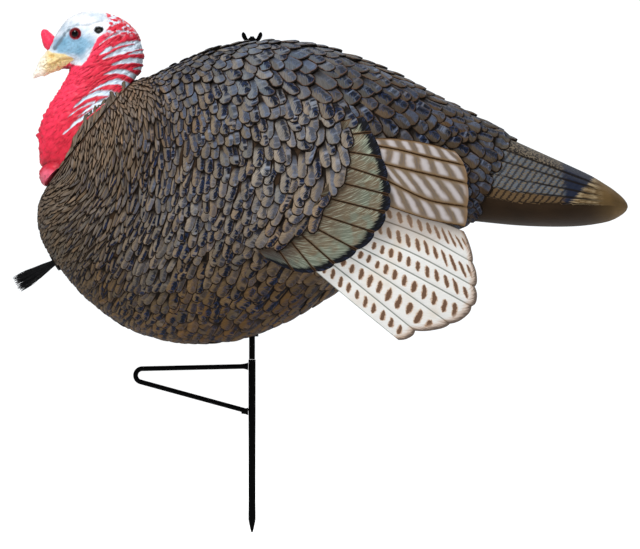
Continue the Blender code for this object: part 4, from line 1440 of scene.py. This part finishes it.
def white_paint():
    """Primaries: off-white with a row of brown bars each, grey-brown towards the tips."""
    graph = Graph("white_feather_paint")
    u, v, edge, _, length, seed, across, along = feather_numbers(graph)
    barbs = barb_noise(graph, across, along, seed, 1.0, 1.2)
    stains = graph.noise(graph.place(), 0.03, 2.0)
    colour = graph.lighten(linear(224, 223, 220), barbs, 0.86, 1.12)
    colour = graph.mix(graph.step(0.5, 0.75, stains) * 0.35, colour, linear(206, 188, 164))
    bend = (graph.noise(graph.place(), 0.12, 2.0) - 0.5) * 4.0
    upright = along + bend + across * 0.65
    phase = upright * (1 / WHITE_BAR_PITCH) + seed * 7.0
    bar = abs(graph.math("FRACT", phase) - 0.5) * (WHITE_BAR_PITCH / 3.3)
    middle = (graph.noise(graph.place(), 0.05, 1.0) - 0.5) * 0.7
    reach = abs(u - middle) * 1.75
    blotch = bar + reach**4.0
    blotch = blotch + (graph.noise(graph.place(), 0.45, 2.0) - 0.5) * 0.8
    rows = graph.step(0.03, 0.06, v) * graph.step(0.97, 0.93, v)
    halo = graph.step(1.5, 0.9, blotch) * rows
    colour = graph.mix(halo * 0.75, colour, linear(184, 144, 104))
    colour = graph.mix(graph.step(1.05, 0.6, blotch) * rows * 0.92, colour, linear(92, 62, 44))
    colour = graph.mix(graph.step(1.3, 0.4, edge) * 0.8, colour, linear(112, 120, 110))
    tip = (1.0 - v) * length + (barbs - 0.5) * 12.0
    colour = graph.mix(graph.step(13.0, 5.0, tip) * 0.6, colour, linear(176, 134, 96))
    colour = graph.mix(graph.step(7.5, 2.0, tip) * 0.9, colour, linear(74, 62, 54))
    shaded = graph.split(graph.place())[2] + (barbs - 0.5) * 26.0
    colour = graph.mix(graph.step(372.0, 412.0, shaded) * 0.62, colour, linear(124, 102, 84))
    graph.set(Base_Color=colour)
    graph.bump(barbs, 0.4, 0.5)
    return graph.material


def tail_paint():
    """Tail: barred grey-blue feathers, a navy band, a tan tip and a plain brown underside."""
    graph = Graph("tail_feather_paint")
    u, band, edge = graph.numbers_of("place")
    place = graph.place()
    x, _, z = graph.split(place)
    down = x * 0.9 + z * -0.43
    streaks = graph.noise(graph.vector(down * 0.1, edge * 0.9, band * 50.0), 1.0, 3.0)
    speckle = graph.noise(place, 0.38, 3.0)
    offset = band * 41.0 + (u * 1.2 + streaks * 5.0)
    bars = graph.math("SINE", down * (2 * math.pi / 8.0) + offset)
    ground = graph.lighten(linear(80, 85, 91), streaks, 0.4, 1.6)
    ground = graph.mix(graph.step(0.47, 0.6, speckle), ground, linear(98, 86, 68))
    barred = graph.mix(graph.step(0.0, 0.8, bars) * 0.8, ground, linear(24, 27, 36))
    spotted = graph.mix(graph.step(0.46, 0.53, speckle), linear(98, 88, 74), linear(26, 24, 24))
    colour = graph.mix(graph.step(0.05, 0.04, band), barred, spotted)
    brown = graph.mix(graph.step(0.1, 0.8, bars) * 0.9, linear(84, 66, 44), linear(22, 16, 12))
    colour = graph.mix(graph.step(0.35, 0.37, band), colour, brown)

    frayed = (streaks - 0.5) * 24.0
    navy_start = x + frayed
    navy_end = navy_start + (460.0 - z)
    navy = graph.lighten(linear(20, 26, 42), streaks, 0.5, 1.6)
    colour = graph.mix(graph.step(408.0, 418.0, navy_start) * 0.97, colour, navy)
    tan = graph.mix(graph.step(0.4, 0.62, streaks), linear(80, 61, 36), linear(140, 124, 96))
    smooth_tan = graph.lighten(linear(94, 74, 45), graph.noise(place, 0.04, 2.0), 0.7, 1.3)
    tan = graph.mix(graph.step(452.0, 468.0, x), tan, smooth_tan)
    colour = graph.mix(graph.step(438.0, 446.0, navy_end), colour, tan)
    under = graph.lighten(linear(38, 26, 14), graph.noise(place, 0.03, 2.0), 0.6, 1.4)
    under = graph.mix(graph.step(440.0, 490.0, x), under, linear(76, 59, 34))
    colour = graph.mix(graph.step(0.47, 0.49, band) * graph.step(490.0, 474.0, x), colour, under)
    groove = graph.step(1.8, 0.6, edge) * graph.step(470.0, 440.0, x)
    groove = groove * graph.step(0.48, 0.42, band)
    colour = graph.mix(groove * 0.92, colour, linear(18, 12, 8))
    graph.set(Base_Color=colour)
    graph.bump(streaks + speckle * 0.5, 0.5, 0.6)
    return graph.material


def skin_paint():
    """Head paint from the vertex colours, brush marks, painted shade at the outline, a slight gloss."""
    graph = Graph("head_skin_paint", 0.45)
    graph.set(Specular_IOR_Level=0.2)
    place = graph.place()
    brush = graph.noise(place, 0.22, 4.0)
    pores = graph.noise(place, 0.9, 2.0)
    colour = graph.lighten(graph.colour_of("paint"), brush, 0.85, 1.15)
    # Painted shade: the paint darkens where the surface turns away from the view.
    silhouette_shade = graph.add("LayerWeight", {"Blend": 0.25}, 1)
    graph.set(Base_Color=graph.lighten(colour, silhouette_shade, 1.0, 0.72))
    graph.bump(brush + pores * 0.35, 0.5, 0.7)
    return graph.material


def snood_paint():
    graph = Graph("snood_paint", 0.4)
    folds = graph.noise(graph.place(), 0.30, 3.0)
    graph.set(Base_Color=graph.mix(folds, linear(214, 28, 60), linear(240, 74, 104)))
    graph.bump(folds, 0.5, 0.6)
    return graph.material


def eye_paint():
    """A black pupil inside a dark red ring, under clear gloss."""
    graph = Graph("eye_glass_paint", 0.06)
    away = graph.numbers_of("place")[0]
    fibres = graph.noise(graph.place(), 0.9, 3.0)
    ring = graph.mix(fibres, linear(60, 8, 14), linear(112, 26, 30))
    colour = graph.mix(graph.step(0.50, 0.56, away), linear(4, 3, 4), ring)
    graph.set(Base_Color=colour, Coat_Weight=0.08, Coat_Roughness=0.03)
    return graph.material


def plain_paint(name, dark, light, roughness, scale, metallic=0.0, gloss=LOW_GLOSS):
    """A material with mottled colour and roughness, for steel, plastic and bristle."""
    graph = Graph(name, roughness)
    mottle = graph.noise(graph.place(), scale, 4.0)
    graph.set(Base_Color=graph.mix(mottle, linear(*dark), linear(*light)), Metallic=metallic)
    graph.set(Roughness=roughness - 0.12 + mottle * 0.24)
    graph.set(Specular_IOR_Level=gloss)
    graph.bump(mottle, 0.25, 0.3)
    return graph.material


def dress_cad_nodes(nodes, steel, zinc, plastic, ground):
    """Materials of the CAD solids that stay in view."""
    finishes = {
        "body_shell": ground, "neck_socket": plastic, "neck_plug": plastic, "beard_grommet": plastic,
        "back_bush": plastic, "belly_bush": plastic, "beard_ferrule": zinc, "shoulder_washer": zinc,
        "nut_washer": zinc, "ground_spike": steel, "stake_rod": steel, "wing_nut": steel,
    }
    for name, material in finishes.items():
        node = nodes[name]
        node.data.materials.clear()
        node.data.materials.append(material)


# ------------------------------------------------------------------------------------------- stage
FLOOR_RADIUS = 14.0
WORLD_LIGHT = 0.36


def build_floor():
    """A pale round floor that the camera sees as white out to the horizon."""
    turns = np.linspace(0, 2 * math.pi, 64, endpoint=False)
    points = [(FLOOR_RADIUS * math.cos(turn), FLOOR_RADIUS * math.sin(turn), 0) for turn in turns]
    mesh = bpy.data.meshes.new("floor")
    mesh.from_pydata(points, [], [range(len(points))])
    graph = Graph("pale_floor", 0.9)
    grain = graph.noise(graph.place(), 0.01, 2.0)
    graph.set(Base_Color=graph.mix(grain, (0.93, 0.93, 0.93, 1), (0.96, 0.96, 0.96, 1)))
    camera_ray = graph.add("LightPath", {}, 0)
    graph.set(Emission_Color=(1, 1, 1, 1), Emission_Strength=camera_ray * 0.7)
    mesh.materials.append(graph.material)
    floor = bpy.data.objects.new("floor", mesh)
    bpy.context.scene.collection.objects.link(floor)


def white_world():
    """A world that lights softly and that the camera sees as white."""
    world = bpy.data.worlds.new("studio")
    world.use_nodes = True
    tree = world.node_tree
    background = tree.nodes["Background"]
    background.inputs["Color"].default_value = (0.96, 0.98, 1.0, 1)
    path = tree.nodes.new("ShaderNodeLightPath")
    strength = tree.nodes.new("ShaderNodeMapRange")
    strength.inputs["To Min"].default_value = WORLD_LIGHT
    strength.inputs["To Max"].default_value = 1.1
    tree.links.new(path.outputs["Is Camera Ray"], strength.inputs["Value"])
    tree.links.new(strength.outputs["Result"], background.inputs["Strength"])
    bpy.context.scene.world = world


def add_light(name, place, target, size, power):
    light = bpy.data.lights.new(name, "AREA")
    light.shape = "DISK"
    light.size = size
    light.energy = power
    lamp = bpy.data.objects.new(name, light)
    lamp.location = place
    lamp.rotation_euler = (Vector(target) - Vector(place)).to_track_quat("-Z", "Y").to_euler()
    bpy.context.scene.collection.objects.link(lamp)


def light_and_camera():
    scene = bpy.context.scene
    target = (0.09, 0, 0.42)
    add_light("key", (-1.0, -1.7, 3.1), target, 1.0, 112)
    add_light("fill", (2.0, -2.6, 1.2), target, 2.0, 16)
    add_light("back", (0.6, 1.9, 2.4), target, 1.8, 30)
    white_world()
    scene.view_settings.view_transform = "Standard"
    scene.view_settings.look = "None"
    camera = bpy.data.cameras.new("camera")
    camera.lens = 200
    camera.sensor_width = 36
    camera.clip_end = 50
    eye = bpy.data.objects.new("camera", camera)
    eye.location = (0.0911, -4.764, 0.345)
    eye.rotation_euler = (math.pi / 2, 0, 0)
    scene.collection.objects.link(eye)
    scene.camera = eye


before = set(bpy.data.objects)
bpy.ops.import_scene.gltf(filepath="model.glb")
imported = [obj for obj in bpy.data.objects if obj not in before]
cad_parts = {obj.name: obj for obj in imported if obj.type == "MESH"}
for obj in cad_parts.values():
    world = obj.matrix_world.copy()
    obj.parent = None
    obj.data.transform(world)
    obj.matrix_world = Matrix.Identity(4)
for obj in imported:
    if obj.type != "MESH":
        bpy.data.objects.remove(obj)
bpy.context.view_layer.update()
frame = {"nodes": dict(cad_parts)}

rng = np.random.default_rng(SEED)
black_steel = plain_paint("black_steel", (1, 1, 1), (5, 5, 6), 0.5, 0.25, gloss=0.03)
zinc_plate = plain_paint("zinc_plate", (120, 122, 124), (170, 172, 175), 0.35, 0.4, 1.0)
black_plastic = plain_paint("black_plastic", (18, 18, 18), (34, 34, 34), 0.5, 0.3)
brown_ground = plain_paint("brown_ground", (34, 24, 15), (58, 42, 28), 0.65, 0.12)
bristle_black = plain_paint("bristle_black", (7, 7, 8), (30, 30, 32), 0.45, 0.3)
body_paint = feather_paint()

body_skin = body_and_tail_skin()
cover_skin = build_cover_plate(body_skin, brown_ground)
body_feathers(body_skin, rng, body_paint)
wing_coverts(cover_skin, rng, body_paint)
neck_hair(rng, body_paint)
build_fan(body_skin, fan_paint())
build_buff(body_skin, buff_paint())
build_white(body_skin, white_paint())
build_tail(tail_paint())
build_head(skin_paint())
build_snood(snood_paint())
build_eyes(eye_paint())
build_beard(bristle_black)
build_step(black_steel)
dress_cad_nodes(frame["nodes"], black_steel, zinc_plate, black_plastic, brown_ground)
build_floor()
light_and_camera()
